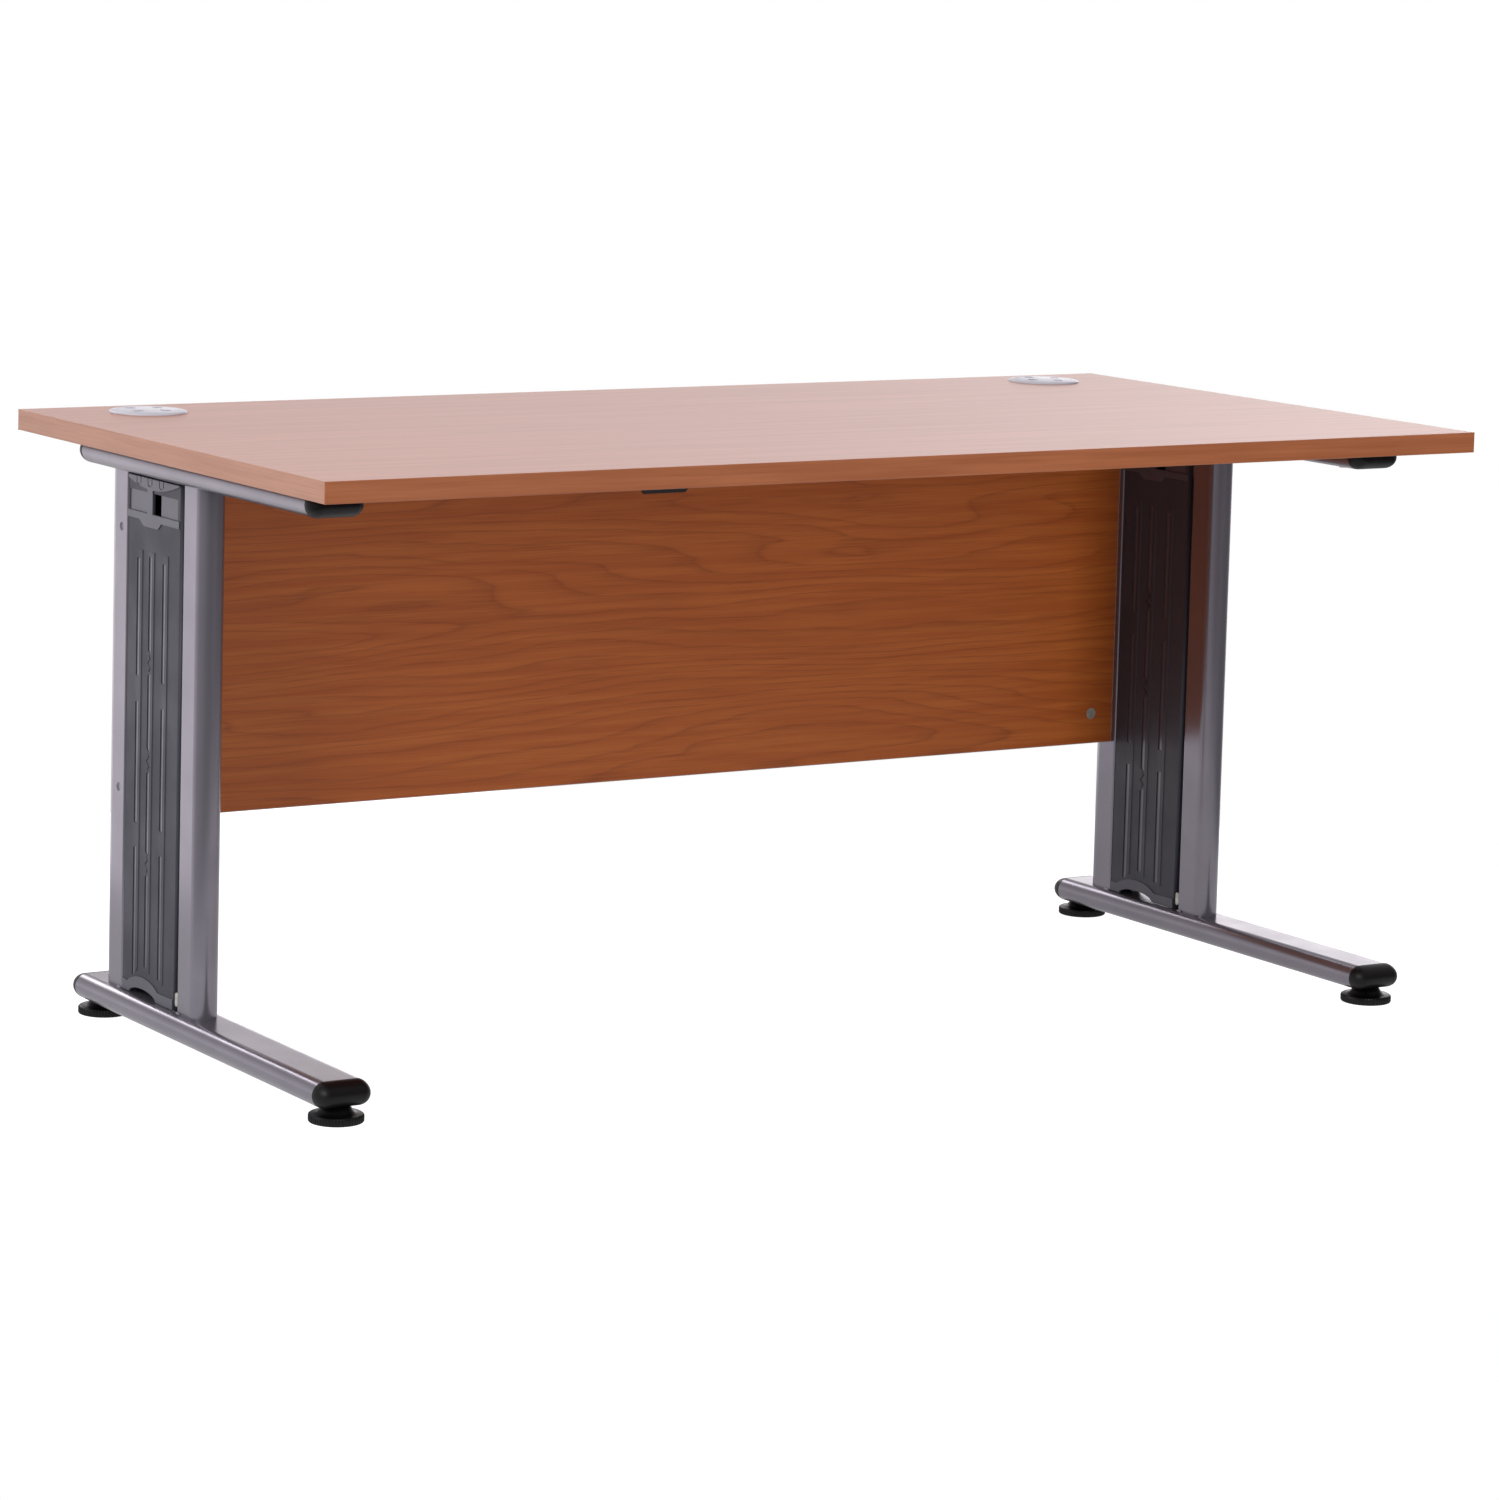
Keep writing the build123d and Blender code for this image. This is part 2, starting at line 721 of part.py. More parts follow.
def grommet_lid(side, turn):
    """Lift-out lid with four cable ports, resting on the liner's ledge."""
    radius = grommet_bore_radius - grommet_fit - grommet_wall - lid_clearance
    bottom = desk_height - ledge_drop
    rim = desk_height + grommet_flange_height
    points = [
        (0, rim + lid_crown - lid_plate),
        (radius - lid_skirt, rim - lid_plate),
        (radius - lid_skirt, bottom),
        (radius, bottom),
        (radius, rim - lid_crown),
        (radius - lid_crown, rim),
        (0, rim + lid_crown),
    ]
    lid = turned(points)
    port = extrude(RectangleRounded(lid_port_size, lid_port_size, lid_port_round), amount=grommet_depth)
    for step_x in (-lid_port_step, lid_port_step):
        for step_y in (-lid_port_step, lid_port_step):
            lid -= Pos(step_x, step_y, desk_height - grommet_depth / 2) * port
    return Pos(side * grommet_x, grommet_y, 0) * Rot(0, 0, turn) * lid


# ---------------------------------------------------------------- write the nodes
os.makedirs("parts", exist_ok=True)

save("desktop_board", desktop_board())
inner_x = half_width - edging_thickness
inner_y = half_depth - edging_thickness
save("edging_front", edging_strip((-half_width, half_width), (-half_depth, -inner_y), (0, -1)))
save("edging_rear", edging_strip((-half_width, half_width), (inner_y, half_depth), (0, 1)))
save("edging_left", edging_strip((-half_width, -inner_x), (-inner_y, inner_y), (-1, 0)))
save("edging_right", edging_strip((inner_x, half_width), (-inner_y, inner_y), (1, 0)))

core_half = panel_half - panel_edging
panel_z = (panel_bottom, panel_top)
save("modesty_panel", modesty_panel())
save("modesty_edging_bottom", panel_edging_strip((-core_half, core_half), (panel_bottom, panel_bottom + panel_edging)))
save("modesty_edging_top", panel_edging_strip((-core_half, core_half), (panel_top - panel_edging, panel_top)))
save("modesty_edging_left", panel_edging_strip((-panel_half, -core_half), panel_z))
save("modesty_edging_right", panel_edging_strip((core_half, panel_half), panel_z))
save("panel_nuts", group(panel_nut(side, z) for side in (-1, 1) for z in bolt_heights))
save("panel_bolts", group(panel_bolt(side, z) for side in (-1, 1) for z in bolt_heights))
save("panel_bracket", panel_bracket())
save("bracket_screws", group(bracket_screws()))

both_sides("rail", rail())
both_sides("foot", foot())
both_sides("front_upright", front_upright())
both_sides("rear_upright", rear_upright())
both_sides("rail_cap_front", cap_in_tube(rail_plug_length, rail_front, -1, rail_middle))
both_sides("rail_cap_rear", cap_in_tube(rail_plug_length, tube_rear, 1, rail_middle))
both_sides("foot_cap_front", foot_cap(foot_front, -1, leveller_places["front"]))
both_sides("foot_cap_rear", foot_cap(tube_rear, 1, leveller_places["rear"]))
save("rail_screws", group(rail_screw(side, y) for side in (-1, 1) for y in rail_screw_places))
save("desktop_inserts", group(board_insert(side, y) for side in (-1, 1) for y in rail_screw_places))

for place_name, place_y in leveller_places.items():
    both_sides("leveller_pad_" + place_name, leveller_pad(place_y))
    both_sides("leveller_stud_" + place_name, leveller_stud(place_y))
save("leveller_inserts", group(leveller_insert(side, y) for side in (-1, 1) for y in leveller_places.values()))

outward_cover = cable_cover()
inward_cover = mirror(outward_cover, about=Plane.YZ)
both_sides("cover_outer", Pos(leg_x, 0, 0) * outward_cover)
both_sides("cover_inner", Pos(leg_x, 0, 0) * inward_cover)
pin_heights = (foot_top + pin_low_rise, rail_bottom - pin_high_drop)
save("cover_pins", group(cover_pin(side, z) for side in (-1, 1) for z in pin_heights))

both_sides("grommet_liner", grommet_liner())
save("grommet_lid_left", grommet_lid(-1, lid_turn_left))
save("grommet_lid_right", grommet_lid(1, lid_turn_right))
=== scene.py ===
# %% [markdown]
# # Teacher desk: the looks around a fixed frame
#
# The imported model is loaded first. Its nodes never move: a node is either given a finish as
# it stands, or a finer piece modelled here takes its place.

import json
from math import atan2, cos, hypot, pi, radians, sin

import bmesh
import bpy
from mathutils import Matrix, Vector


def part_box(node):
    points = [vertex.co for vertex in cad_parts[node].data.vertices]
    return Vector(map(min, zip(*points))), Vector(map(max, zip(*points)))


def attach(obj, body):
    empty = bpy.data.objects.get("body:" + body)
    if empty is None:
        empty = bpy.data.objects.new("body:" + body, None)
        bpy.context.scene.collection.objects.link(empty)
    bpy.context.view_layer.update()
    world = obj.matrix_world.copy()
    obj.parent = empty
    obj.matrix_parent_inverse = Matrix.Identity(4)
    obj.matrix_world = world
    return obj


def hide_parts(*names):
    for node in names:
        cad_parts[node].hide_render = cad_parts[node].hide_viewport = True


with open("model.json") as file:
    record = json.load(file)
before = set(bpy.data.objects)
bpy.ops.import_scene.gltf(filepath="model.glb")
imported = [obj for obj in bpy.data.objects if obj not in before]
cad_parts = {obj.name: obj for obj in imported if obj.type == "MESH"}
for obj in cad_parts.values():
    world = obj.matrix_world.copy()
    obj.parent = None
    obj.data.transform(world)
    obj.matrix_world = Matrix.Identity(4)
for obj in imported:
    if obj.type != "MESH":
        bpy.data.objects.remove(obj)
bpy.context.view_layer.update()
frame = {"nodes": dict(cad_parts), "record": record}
nodes = frame["nodes"]
MM = 0.001

# %% [markdown]
# ## Places that the pieces share
#
# Every place comes from the model's own boxes, so a piece always fits the node it stands for.
# Left and right legs are alike, so a piece is modelled on the right one, whose middle plane is
# the middle of its foot tube, and is copied to the other.

# %% Shared places
foot_low, foot_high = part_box("foot_right")
rail_low, rail_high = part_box("rail_right")
upright_low, upright_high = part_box("front_upright_right")
leg_x = (foot_low.x + foot_high.x) / 2
oval_round = (foot_high.z - foot_low.z) / 2
upright_half = (upright_high.x - upright_low.x) / 2
print("leg plane", round(leg_x, 4), "tube end radius", round(oval_round, 4))

# %% [markdown]
# ## Camera
#
# A long lens stands far off to the front left, a little above the worktop. Upright edges stay
# nearly parallel, and the top is seen as a thin, bright band.

# %% Camera
camera_data = bpy.data.cameras.new("camera")
camera_data.sensor_width = 36.0
camera_data.lens = 120.627
camera_data.shift_x = 0.08
camera_data.shift_y = -0.2
camera_data.clip_end = 50.0
camera = bpy.data.objects.new("camera", camera_data)
camera.location = (-3.2911, -5.1478, 1.3460)
camera.rotation_euler = [radians(a) for a in (83.826, -1.380, -31.013)]
bpy.context.scene.collection.objects.link(camera)
bpy.context.scene.camera = camera
bpy.context.scene.view_settings.view_transform = "Standard"
print("camera", [round(v, 3) for v in camera.location])

# %% [markdown]
# ## Colours and shader nodes
#
# Colours are written as people read them, in sRGB hex, and turned to the linear values that
# light needs. One helper adds any shader node, sets its options and links its inputs. Four
# more stand for the nodes that come up again and again, which keeps each finish below down to
# a few readable lines.


# %% Colour and node helpers
def linear(hex_colour):
    """An sRGB hex colour as linear red, green, blue and alpha."""
    channels = [int(hex_colour[i : i + 2], 16) / 255 for i in (1, 3, 5)]
    return [c / 12.92 if c <= 0.04045 else ((c + 0.055) / 1.055) ** 2.4 for c in channels] + [1.0]


def node(tree, kind, inputs=None, **settings):
    """Adds one shader node, sets its options, and sets or links its inputs."""
    made = tree.nodes.new(kind)
    for name, value in settings.items():
        setattr(made, name, value)
    for name, value in (inputs or {}).items():
        if isinstance(value, bpy.types.NodeSocket):
            tree.links.new(value, made.inputs[name])
        else:
            made.inputs[name].default_value = value
    return made


def maths(tree, operation, *values):
    """One step of arithmetic on numbers or sockets; gives the result's socket."""
    return node(tree, "ShaderNodeMath", dict(enumerate(values)), operation=operation).outputs[0]


def rescaled(tree, value, low, high, start, end):
    """Stretches a value that runs from low to high, so that it runs from start to end."""
    return node(tree, "ShaderNodeMapRange", {0: value, 1: low, 2: high, 3: start, 4: end}).outputs[0]


def blend(tree, share, start, end):
    """A colour between two others; share is how far it lies towards the second."""
    return node(tree, "ShaderNodeMix", {0: share, 6: start, 7: end}, data_type="RGBA").outputs[2]


def noise(tree, place, size, detail):
    """Soft random spots, about as wide as size in metres."""
    settings = {"Vector": place, "Scale": 1 / size, "Detail": detail}
    return node(tree, "ShaderNodeTexNoise", settings).outputs[0]


print("worktop brown", [round(c, 3) for c in linear("#B87040")])

# %% [markdown]
# ## Light
#
# The room is a white surround that is not equally bright all round. It is bright behind the
# desk, so the glossy top shines and the uprights' flanks catch light. It is dim in front, so
# the uprights' round fronts fall away into grey. Each bright side is a lobe: the cosine of the
# angle to a direction, raised to a power. In the list below each one has its direction, that
# power and its strength. The light is very slightly rose, and the camera itself always sees
# plain white.

# %% World
world = bpy.data.worlds.new("studio")
bpy.context.scene.world = world
world.use_nodes = True
sky = world.node_tree
sky.nodes.clear()
aim = node(sky, "ShaderNodeTexCoord").outputs["Generated"]


def lobe(direction, sharpness, strength):
    """Light that is strongest from one direction and fades smoothly away from it."""
    length = sum(part * part for part in direction) ** 0.5
    unit = [part / length for part in direction]
    facing = node(sky, "ShaderNodeVectorMath", {0: aim, 1: unit}, operation="DOT_PRODUCT")
    clipped = maths(sky, "MAXIMUM", facing.outputs["Value"], 0.0)
    shaped = maths(sky, "POWER", clipped, sharpness)
    return maths(sky, "MULTIPLY", shaped, strength)


bright_sides = [
    ((0.0, 0.0, 1.0), 2.0, 0.38),
    ((0.70, 0.71, 0.03), 45.0, 2.45),
    ((0.43, 0.90, 0.01), 110.0, 1.60),
    ((0.80, 0.60, 0.06), 9.0, 0.95),
    ((0.20, 1.0, 0.06), 9.0, 0.30),
    ((-0.60, 0.78, -0.05), 6.0, 0.74),
    ((-0.22, 0.96, -0.12), 40.0, 1.10),
    ((0.05, 0.85, 0.52), 120.0, 8.0),
    ((-0.15, 0.80, -0.58), 8.0, 0.62),
    ((-1.0, -0.1, 0.1), 4.0, 0.26),
]
light_from_everywhere = 0.17
slightly_rose = (1.0, 0.965, 0.985, 1)
plain_white = (1, 1, 1, 1)
total = light_from_everywhere
for direction, sharpness, strength in bright_sides:
    total = maths(sky, "ADD", total, lobe(direction, sharpness, strength))
seen = node(sky, "ShaderNodeLightPath").outputs["Is Camera Ray"]
level = node(sky, "ShaderNodeMix", {0: seen, 2: total, 3: 1.0}, data_type="FLOAT")
tint = blend(sky, seen, slightly_rose, plain_white)
backdrop = node(sky, "ShaderNodeBackground", {"Color": tint, "Strength": level.outputs[0]})
node(sky, "ShaderNodeOutputWorld", {"Surface": backdrop.outputs[0]})
print("bright sides", len(bright_sides))


# %% Lamps
def soft_lamp(name, place, target, size, power, glossy=True):
    """A square area lamp at a place, turned to face a target."""
    data = bpy.data.lights.new(name, "AREA")
    data.shape = "SQUARE"
    data.size = size
    data.energy = power
    lamp = bpy.data.objects.new(name, data)
    lamp.location = place
    reach = [t - p for t, p in zip(target, place)]
    flat = hypot(reach[0], reach[1])
    lamp.rotation_euler = (pi / 2 + atan2(reach[2], flat), 0, atan2(-reach[0], reach[1]))
    lamp.visible_camera = False
    lamp.visible_glossy = glossy
    bpy.context.scene.collection.objects.link(lamp)
    return lamp


soft_lamp("key", (-4.0, -1.6, 2.8), (0, 0, 0.5), 2.2, 95)
soft_lamp("front_fill", (1.2, -4.6, 0.7), (0, 0, 0.4), 2.6, 82, glossy=False)

# %% [markdown]
# ## Floor
#
# A plain pale floor carries the desk's shadow and throws a little light back up under it. It is
# painted a matt light grey. To the camera it also glows, so that away from the desk it is as
# white as the surround and its edge doesn't show. In the steel's reflections it glows half as
# much.

# %% Floor
floor_radius = 1.5
glow_in_steel = 0.50
bpy.ops.object.select_all(action="DESELECT")
bpy.ops.mesh.primitive_circle_add(vertices=96, radius=floor_radius, fill_type="NGON", location=(0, 0, 0))
floor = bpy.context.object
floor.name = "studio_floor"
floor_paint = bpy.data.materials.new("matt_floor_paint")
floor_paint.use_nodes = True
tree = floor_paint.node_tree
tree.nodes.clear()
matt = node(tree, "ShaderNodeBsdfDiffuse", {"Color": (0.45, 0.45, 0.46, 1.0)})
ray = node(tree, "ShaderNodeLightPath").outputs
brightness = maths(tree, "MULTIPLY_ADD", ray["Is Glossy Ray"], glow_in_steel, ray["Is Camera Ray"])
glow = node(tree, "ShaderNodeEmission", {"Strength": brightness})
both = node(tree, "ShaderNodeAddShader", {0: matt.outputs[0], 1: glow.outputs[0]})
node(tree, "ShaderNodeOutputMaterial", {"Surface": both.outputs[0]})
floor.data.materials.append(floor_paint)
print("floor radius", floor_radius)

# %% [markdown]
# ## Finishes
#
# Each finish starts from what the real material is and how its surface was made. Patterns are
# measured in millimetres along the object, so a grain or a speckle keeps its real size on
# every piece. Moulded and coated surfaces share one recipe: the colour drifts very slightly
# over a hand's width, the gloss wanders with it, and a fine texture lies over it as bump.


# %% Moulded and coated surfaces
def coated(name, colour, drift, texture, height, gloss, metallic=0.0, drift_size=70.0, shine=0.5):
    """A plain surface.

    The colour wanders from colour to drift over drift_size mm. The texture's spots are as wide
    as texture and as high as height, in mm. The roughness lies between the two gloss values,
    and shine is how much light the bare surface mirrors, 0.5 for most plastics.
    """
    material = bpy.data.materials.new(name)
    material.use_nodes = True
    tree = material.node_tree
    shader = tree.nodes["Principled BSDF"]
    place = node(tree, "ShaderNodeTexCoord").outputs["Object"]
    slow = noise(tree, place, drift_size * MM, 3.0)
    spread = rescaled(tree, slow, 0.35, 0.65, 0.0, 1.0)
    tint = blend(tree, spread, linear(colour), linear(drift))
    sheen = rescaled(tree, spread, 0.0, 1.0, *gloss)
    fine = noise(tree, place, texture * MM, 1.5)
    raised = node(tree, "ShaderNodeBump", {"Height": fine, "Distance": height * MM, "Strength": 0.7})
    tree.links.new(tint, shader.inputs["Base Color"])
    tree.links.new(sheen, shader.inputs["Roughness"])
    tree.links.new(raised.outputs[0], shader.inputs["Normal"])
    shader.inputs["Metallic"].default_value = metallic
    shader.inputs["Specular IOR Level"].default_value = shine
    return material


# %% [markdown]
# ### Steel
#
# The leg tubes are mild steel, powder coated in a metallic silver-grey. The flakes in the coat
# give a soft metal reflection, and the baked powder leaves a faint orange peel, about 1.5 mm
# from crest to crest. Bolts and studs are zinc plated: brighter and a little blotchy. The
# bracket under the top has a plain black coat, and its screws are blackened.

# %% Steel finishes
silver_coat = coated(
    "silver_powder_coated_steel", "#8B8791", "#86828C", 1.5, 0.003, (0.21, 0.26), metallic=0.72
)
zinc = coated(
    "zinc_plated_steel", "#CBC9C0", "#B5B3AB", 3.0, 0.010, (0.35, 0.50), metallic=0.6, drift_size=6.0
)
black_coat = coated("black_powder_coated_steel", "#28272A", "#232225", 1.2, 0.020, (0.42, 0.50))
black_screw = coated(
    "blackened_steel", "#2A2A2B", "#1C1C1D", 1.0, 0.005, (0.35, 0.45), metallic=0.8, drift_size=5.0
)
brass = coated(
    "turned_brass", "#C3A25A", "#B2924E", 1.0, 0.005, (0.28, 0.38), metallic=1.0, drift_size=8.0
)
print("steel finishes", silver_coat.name, zinc.name)

# %% [markdown]
# ### Plastics
#
# End caps are black polypropylene and levelling feet black nylon, moulded in spark-eroded
# steel, which leaves a fine matt grain. The cable covers are anthracite ABS. Their fields have
# a coarse leather-like texture that drinks the light, while the raised bands and the sunk
# windows are polished in the mould. The polished plastic is also given a paler colour, which
# is a painted sheen for the light its smooth faces catch. The grommets are pale silver-grey ABS.
# The textures are drawn about twice their real size, so that they still show from afar.

# %% Plastic finishes
cap_plastic = coated("black_polypropylene", "#080507", "#060406", 0.8, 0.030, (0.40, 0.48), shine=0.3)
foot_plastic = coated("black_nylon", "#080608", "#060506", 0.8, 0.025, (0.36, 0.44), shine=0.3)
cover_field = coated("textured_anthracite_abs", "#3D3E49", "#393A44", 1.6, 0.16, (0.50, 0.60))
# The polished plastic's paler colour is a painted sheen for the light its smooth faces catch.
cover_band_painted_sheen = coated("smooth_anthracite_abs_painted_sheen", "#565662", "#52525E", 2.5, 0.010, (0.30, 0.36))
grommet_plastic = coated("silver_grey_abs", "#D6D5E0", "#D0CFDA", 1.0, 0.015, (0.30, 0.38))
print("plastic finishes", cover_field.name, cover_band_painted_sheen.name)

# %% [markdown]
# ### Cherry laminate
#
# Top and panel are chipboard faced with melamine paper, printed with flat-sawn cherry. Growth
# lines run at even steps across the board, like a ramp cut into levels, and a slow noise pushes
# them up and down. Where the push outruns the ramp, lines close into long pointed loops. Each
# line is pale on one side and darkens to the other, as a year's growth does. Fine long streaks
# lie over the lines. An image would be sharper, but noise never repeats and needs no file.


# %% Laminate
def laminate(name, light, mid, dark, along, figure, spacing, waves, streak, contrast, gloss, seed=0.0):
    """Printed cherry on melamine.

    along is 0 or 1: the grain runs along X or Y. Growth lines lie spacing mm apart across it,
    and a noise with spots of the figure's length and width, in mm, pushes them up and down by
    up to waves lines. streak is the length and width of the fine streaks over them. contrast
    is how strongly the lines and how strongly the streaks show. growth says how dark one
    year's line is at places across it: almost nothing at first, then a thin dark edge.
    """
    growth = ((0.06, 0.08), (0.18, 0.0), (0.40, 0.10), (0.70, 0.25), (0.90, 0.60), (0.95, 1.0))
    material = bpy.data.materials.new(name)
    material.use_nodes = True
    tree = material.node_tree
    shader = tree.nodes["Principled BSDF"]
    place = node(tree, "ShaderNodeTexCoord").outputs["Object"]

    def stretched(size, detail, shift):
        """Noise whose spots are as long and as wide as size, along the grain."""
        scale = [1 / (size[1] * MM)] * 3
        scale[along] = 1 / (size[0] * MM)
        moved = {"Vector": place, "Location": [shift] * 3, "Scale": scale}
        return noise(tree, node(tree, "ShaderNodeMapping", moved).outputs[0], 1.0, detail)

    slow = stretched(figure, 1.0, seed)
    wander = stretched((figure[0] / 4, figure[1] / 3), 2.0, seed + 5.0)
    fine = stretched(streak, 2.0, seed + 9.0)
    broad = stretched((streak[0] * 3, streak[1] * 7), 1.0, seed + 3.0)
    across = [1 / (spacing * MM)] * 3
    across[along] = 0.0
    steps = node(tree, "ShaderNodeVectorMath", {0: place, 1: across}, operation="DOT_PRODUCT")
    pushed = maths(tree, "MULTIPLY_ADD", slow, waves, steps.outputs["Value"])
    bent = maths(tree, "MULTIPLY_ADD", wander, waves / 9, pushed)
    year = maths(tree, "FRACT", bent)
    line = node(tree, "ShaderNodeValToRGB", {"Fac": year})
    stops = line.color_ramp.elements
    for stop in stops:
        stop.color = (0.4, 0.4, 0.4, 1)
    for position, value in growth:
        stops.new(position).color = (value, value, value, 1)
    lines, streaks = contrast
    soft = rescaled(tree, broad, 0.35, 0.65, 0.0, 1.0)
    thin = rescaled(tree, fine, 0.32, 0.68, -streaks, streaks)
    ground = blend(tree, soft, linear(mid), linear(light))
    shade = maths(tree, "MULTIPLY_ADD", line.outputs[0], lines, thin)
    darkness = node(tree, "ShaderNodeClamp", {"Value": shade}).outputs[0]
    board = blend(tree, darkness, ground, linear(dark))
    raised = node(tree, "ShaderNodeBump", {"Height": fine, "Distance": 0.03 * MM, "Strength": 0.4})
    tree.links.new(board, shader.inputs["Base Color"])
    tree.links.new(raised.outputs[0], shader.inputs["Normal"])
    shader.inputs["Roughness"].default_value = gloss
    return material


# %% [markdown]
# The worktop's print is calm, and from a low angle its gloss hides most of it. The panel stands
# upright and shows its arches. The edging is an ABS strip printed to match, with short dashes,
# and the panel's thin strips are a paler, pinkish brown. The strips on the worktop's two ends are
# the same edging with its grain turned along them, but painted paler and pinker: that is painted
# light, for the light that the ends catch.

# %% Wood finishes
calm = {
    "figure": (1300, 170),
    "spacing": 24,
    "waves": 9.0,
    "streak": (130, 2.0),
    "contrast": (0.28, 0.15),
    "gloss": 0.34,
}
arched = {
    "figure": (850, 95),
    "spacing": 17,
    "waves": 13.0,
    "streak": (90, 1.4),
    "contrast": (0.46, 0.22),
    "gloss": 0.42,
}
edging = {
    "figure": (500, 30),
    "spacing": 5,
    "waves": 2.0,
    "streak": (60, 1.3),
    "contrast": (0.22, 0.14),
    "gloss": 0.38,
}
top_wood = laminate("cherry_melamine_top", "#C27C60", "#B87256", "#9A583E", 0, seed=2.0, **calm)
panel_wood = laminate("cherry_melamine_panel", "#BC662A", "#B05A22", "#7E3A12", 0, seed=6.4, **arched)
edge_wood = laminate("cherry_abs_edging", "#B97048", "#AC643E", "#8A4828", 0, seed=1.3, **edging)
# The same edging with the grain along Y, in a paler, pinker colour that is painted light.
end_edging_painted_light = laminate("cherry_abs_edging_ends_painted_light", "#C0866A", "#B67C60", "#8E5A40", 1, seed=1.3, **edging)
strip_wood = laminate("rose_brown_abs_edging", "#B08E88", "#A38079", "#8C6A62", 0, seed=3.1, **edging)
print("wood finishes", top_wood.name, panel_wood.name)

# %% Paint the frame's own nodes
finishes = {
    "desktop_laminate": top_wood,
    "panel_laminate": panel_wood,
    "desktop_edging": edge_wood,
    "panel_edging": strip_wood,
    "leg_steel": silver_coat,
    "cap_plastic": cap_plastic,
    "leveller_plastic": foot_plastic,
    "cover_plastic": cover_field,
    "grommet_plastic": grommet_plastic,
    "stud_steel": zinc,
    "fixing_steel": zinc,
    "insert_brass": brass,
    "bracket_steel": black_coat,
    "screw_black": black_screw,
}
slots = {part["node"]: part["material_slot"] for part in frame["record"]["subparts"]}
end_strips = ("edging_left", "edging_right")
for name, shown in nodes.items():
    # The end strips take the paler, pinker copy of the edging: painted light on the ends.
    finish = end_edging_painted_light if name in end_strips else finishes[slots[name]]
    shown.data.materials.clear()
    shown.data.materials.append(finish)
print("painted nodes", len(slots))

# %% [markdown]
# ## Hands for modelling
#
# Pieces are modelled as by hand. Operators act on whatever is selected, so two helpers choose
# it: one picks whole pieces, and one picks the corners, edges or faces of the open mesh by
# where they are.


# %% Choosing
def only(*pieces):
    """Selects these pieces and nothing else; the last becomes the active one."""
    bpy.ops.object.select_all(action="DESELECT")
    for piece in pieces:
        piece.select_set(True)
    bpy.context.view_layer.objects.active = pieces[-1]


def pick(kind, test):
    """In edit mode, selects just the elements of one kind that pass a test."""
    bpy.ops.mesh.select_mode(type=kind)
    bpy.ops.mesh.select_all(action="DESELECT")
    mesh = bpy.context.object.data
    shape = bmesh.from_edit_mesh(mesh)
    found = [e for e in {"VERT": shape.verts, "EDGE": shape.edges, "FACE": shape.faces}[kind] if test(e)]
    for element in found:
        element.select_set(True)
    shape.select_flush_mode()
    bmesh.update_edit_mesh(mesh)
    return len(found)


# %% [markdown]
# Flat shapes start as a drawing: one point is extruded from corner to corner until the outline
# closes. Filled and pulled up, it is a plate, a cutter or a moulded band. Spun about an upright
# line, an outline is a turned piece. Solids are then added to each other or cut away with the
# Boolean modifier, which is how a mould gets its ribs and slots.


# %% Drawing and turning
def trace(name, points, closed=True):
    """Draws an outline by extruding one corner to the next, and stays in edit mode."""
    only(bpy.context.object)
    bpy.ops.mesh.primitive_plane_add(size=MM, location=points[0])
    bpy.context.object.name = name
    bpy.ops.object.transform_apply()
    bpy.ops.object.mode_set(mode="EDIT")
    bpy.ops.mesh.select_mode(type="VERT")
    bpy.ops.mesh.select_all(action="SELECT")
    bpy.ops.mesh.merge(type="CENTER")
    for here, there in zip(points, points[1:] + points[:1] if closed else points[1:]):
        step = [b - a for a, b in zip(here, there)]
        bpy.ops.mesh.extrude_region_move(TRANSFORM_OT_translate={"value": step})
    bpy.ops.mesh.select_all(action="SELECT")
    bpy.ops.mesh.remove_doubles(threshold=0.002 * MM)


def tidy_normals():
    """Merges doubles, turns every face outwards and leaves edit mode."""
    bpy.ops.mesh.select_all(action="SELECT")
    bpy.ops.mesh.remove_doubles(threshold=0.01 * MM)
    bpy.ops.mesh.normals_make_consistent(inside=False)
    bpy.ops.object.mode_set(mode="OBJECT")
    return bpy.context.object


def pulled(name, points, lift):
    """A solid: an outline, filled and pulled along lift."""
    trace(name, points)
    bpy.ops.mesh.edge_face_add()
    bpy.ops.mesh.extrude_region_move(TRANSFORM_OT_translate={"value": lift})
    return tidy_normals()


def turned(name, profile, centre, steps):
    """A solid of revolution: (radius, height) corners in metres, spun about an upright line."""
    closed = profile[0][0] > 0
    trace(name, [(centre[0] + radius, centre[1], height) for radius, height in profile], closed)
    bpy.ops.mesh.spin(steps=steps, angle=2 * pi, center=(*centre, 0), axis=(0, 0, 1))
    return tidy_normals()


# %% Joining, cutting and copying
def combine(piece, tool, operation):
    """Adds a solid to a piece, or cuts it away; the tool is used up."""
    only(piece)
    change = piece.modifiers.new(operation.lower(), "BOOLEAN")
    change.operation = operation
    change.solver = "EXACT"
    change.object = tool
    bpy.ops.object.modifier_apply(modifier=change.name)
    bpy.data.objects.remove(tool)


def joined(solids):
    """Several loose solids as one object."""
    only(*solids)
    if len(solids) > 1:
        bpy.ops.object.join()
    return bpy.context.object


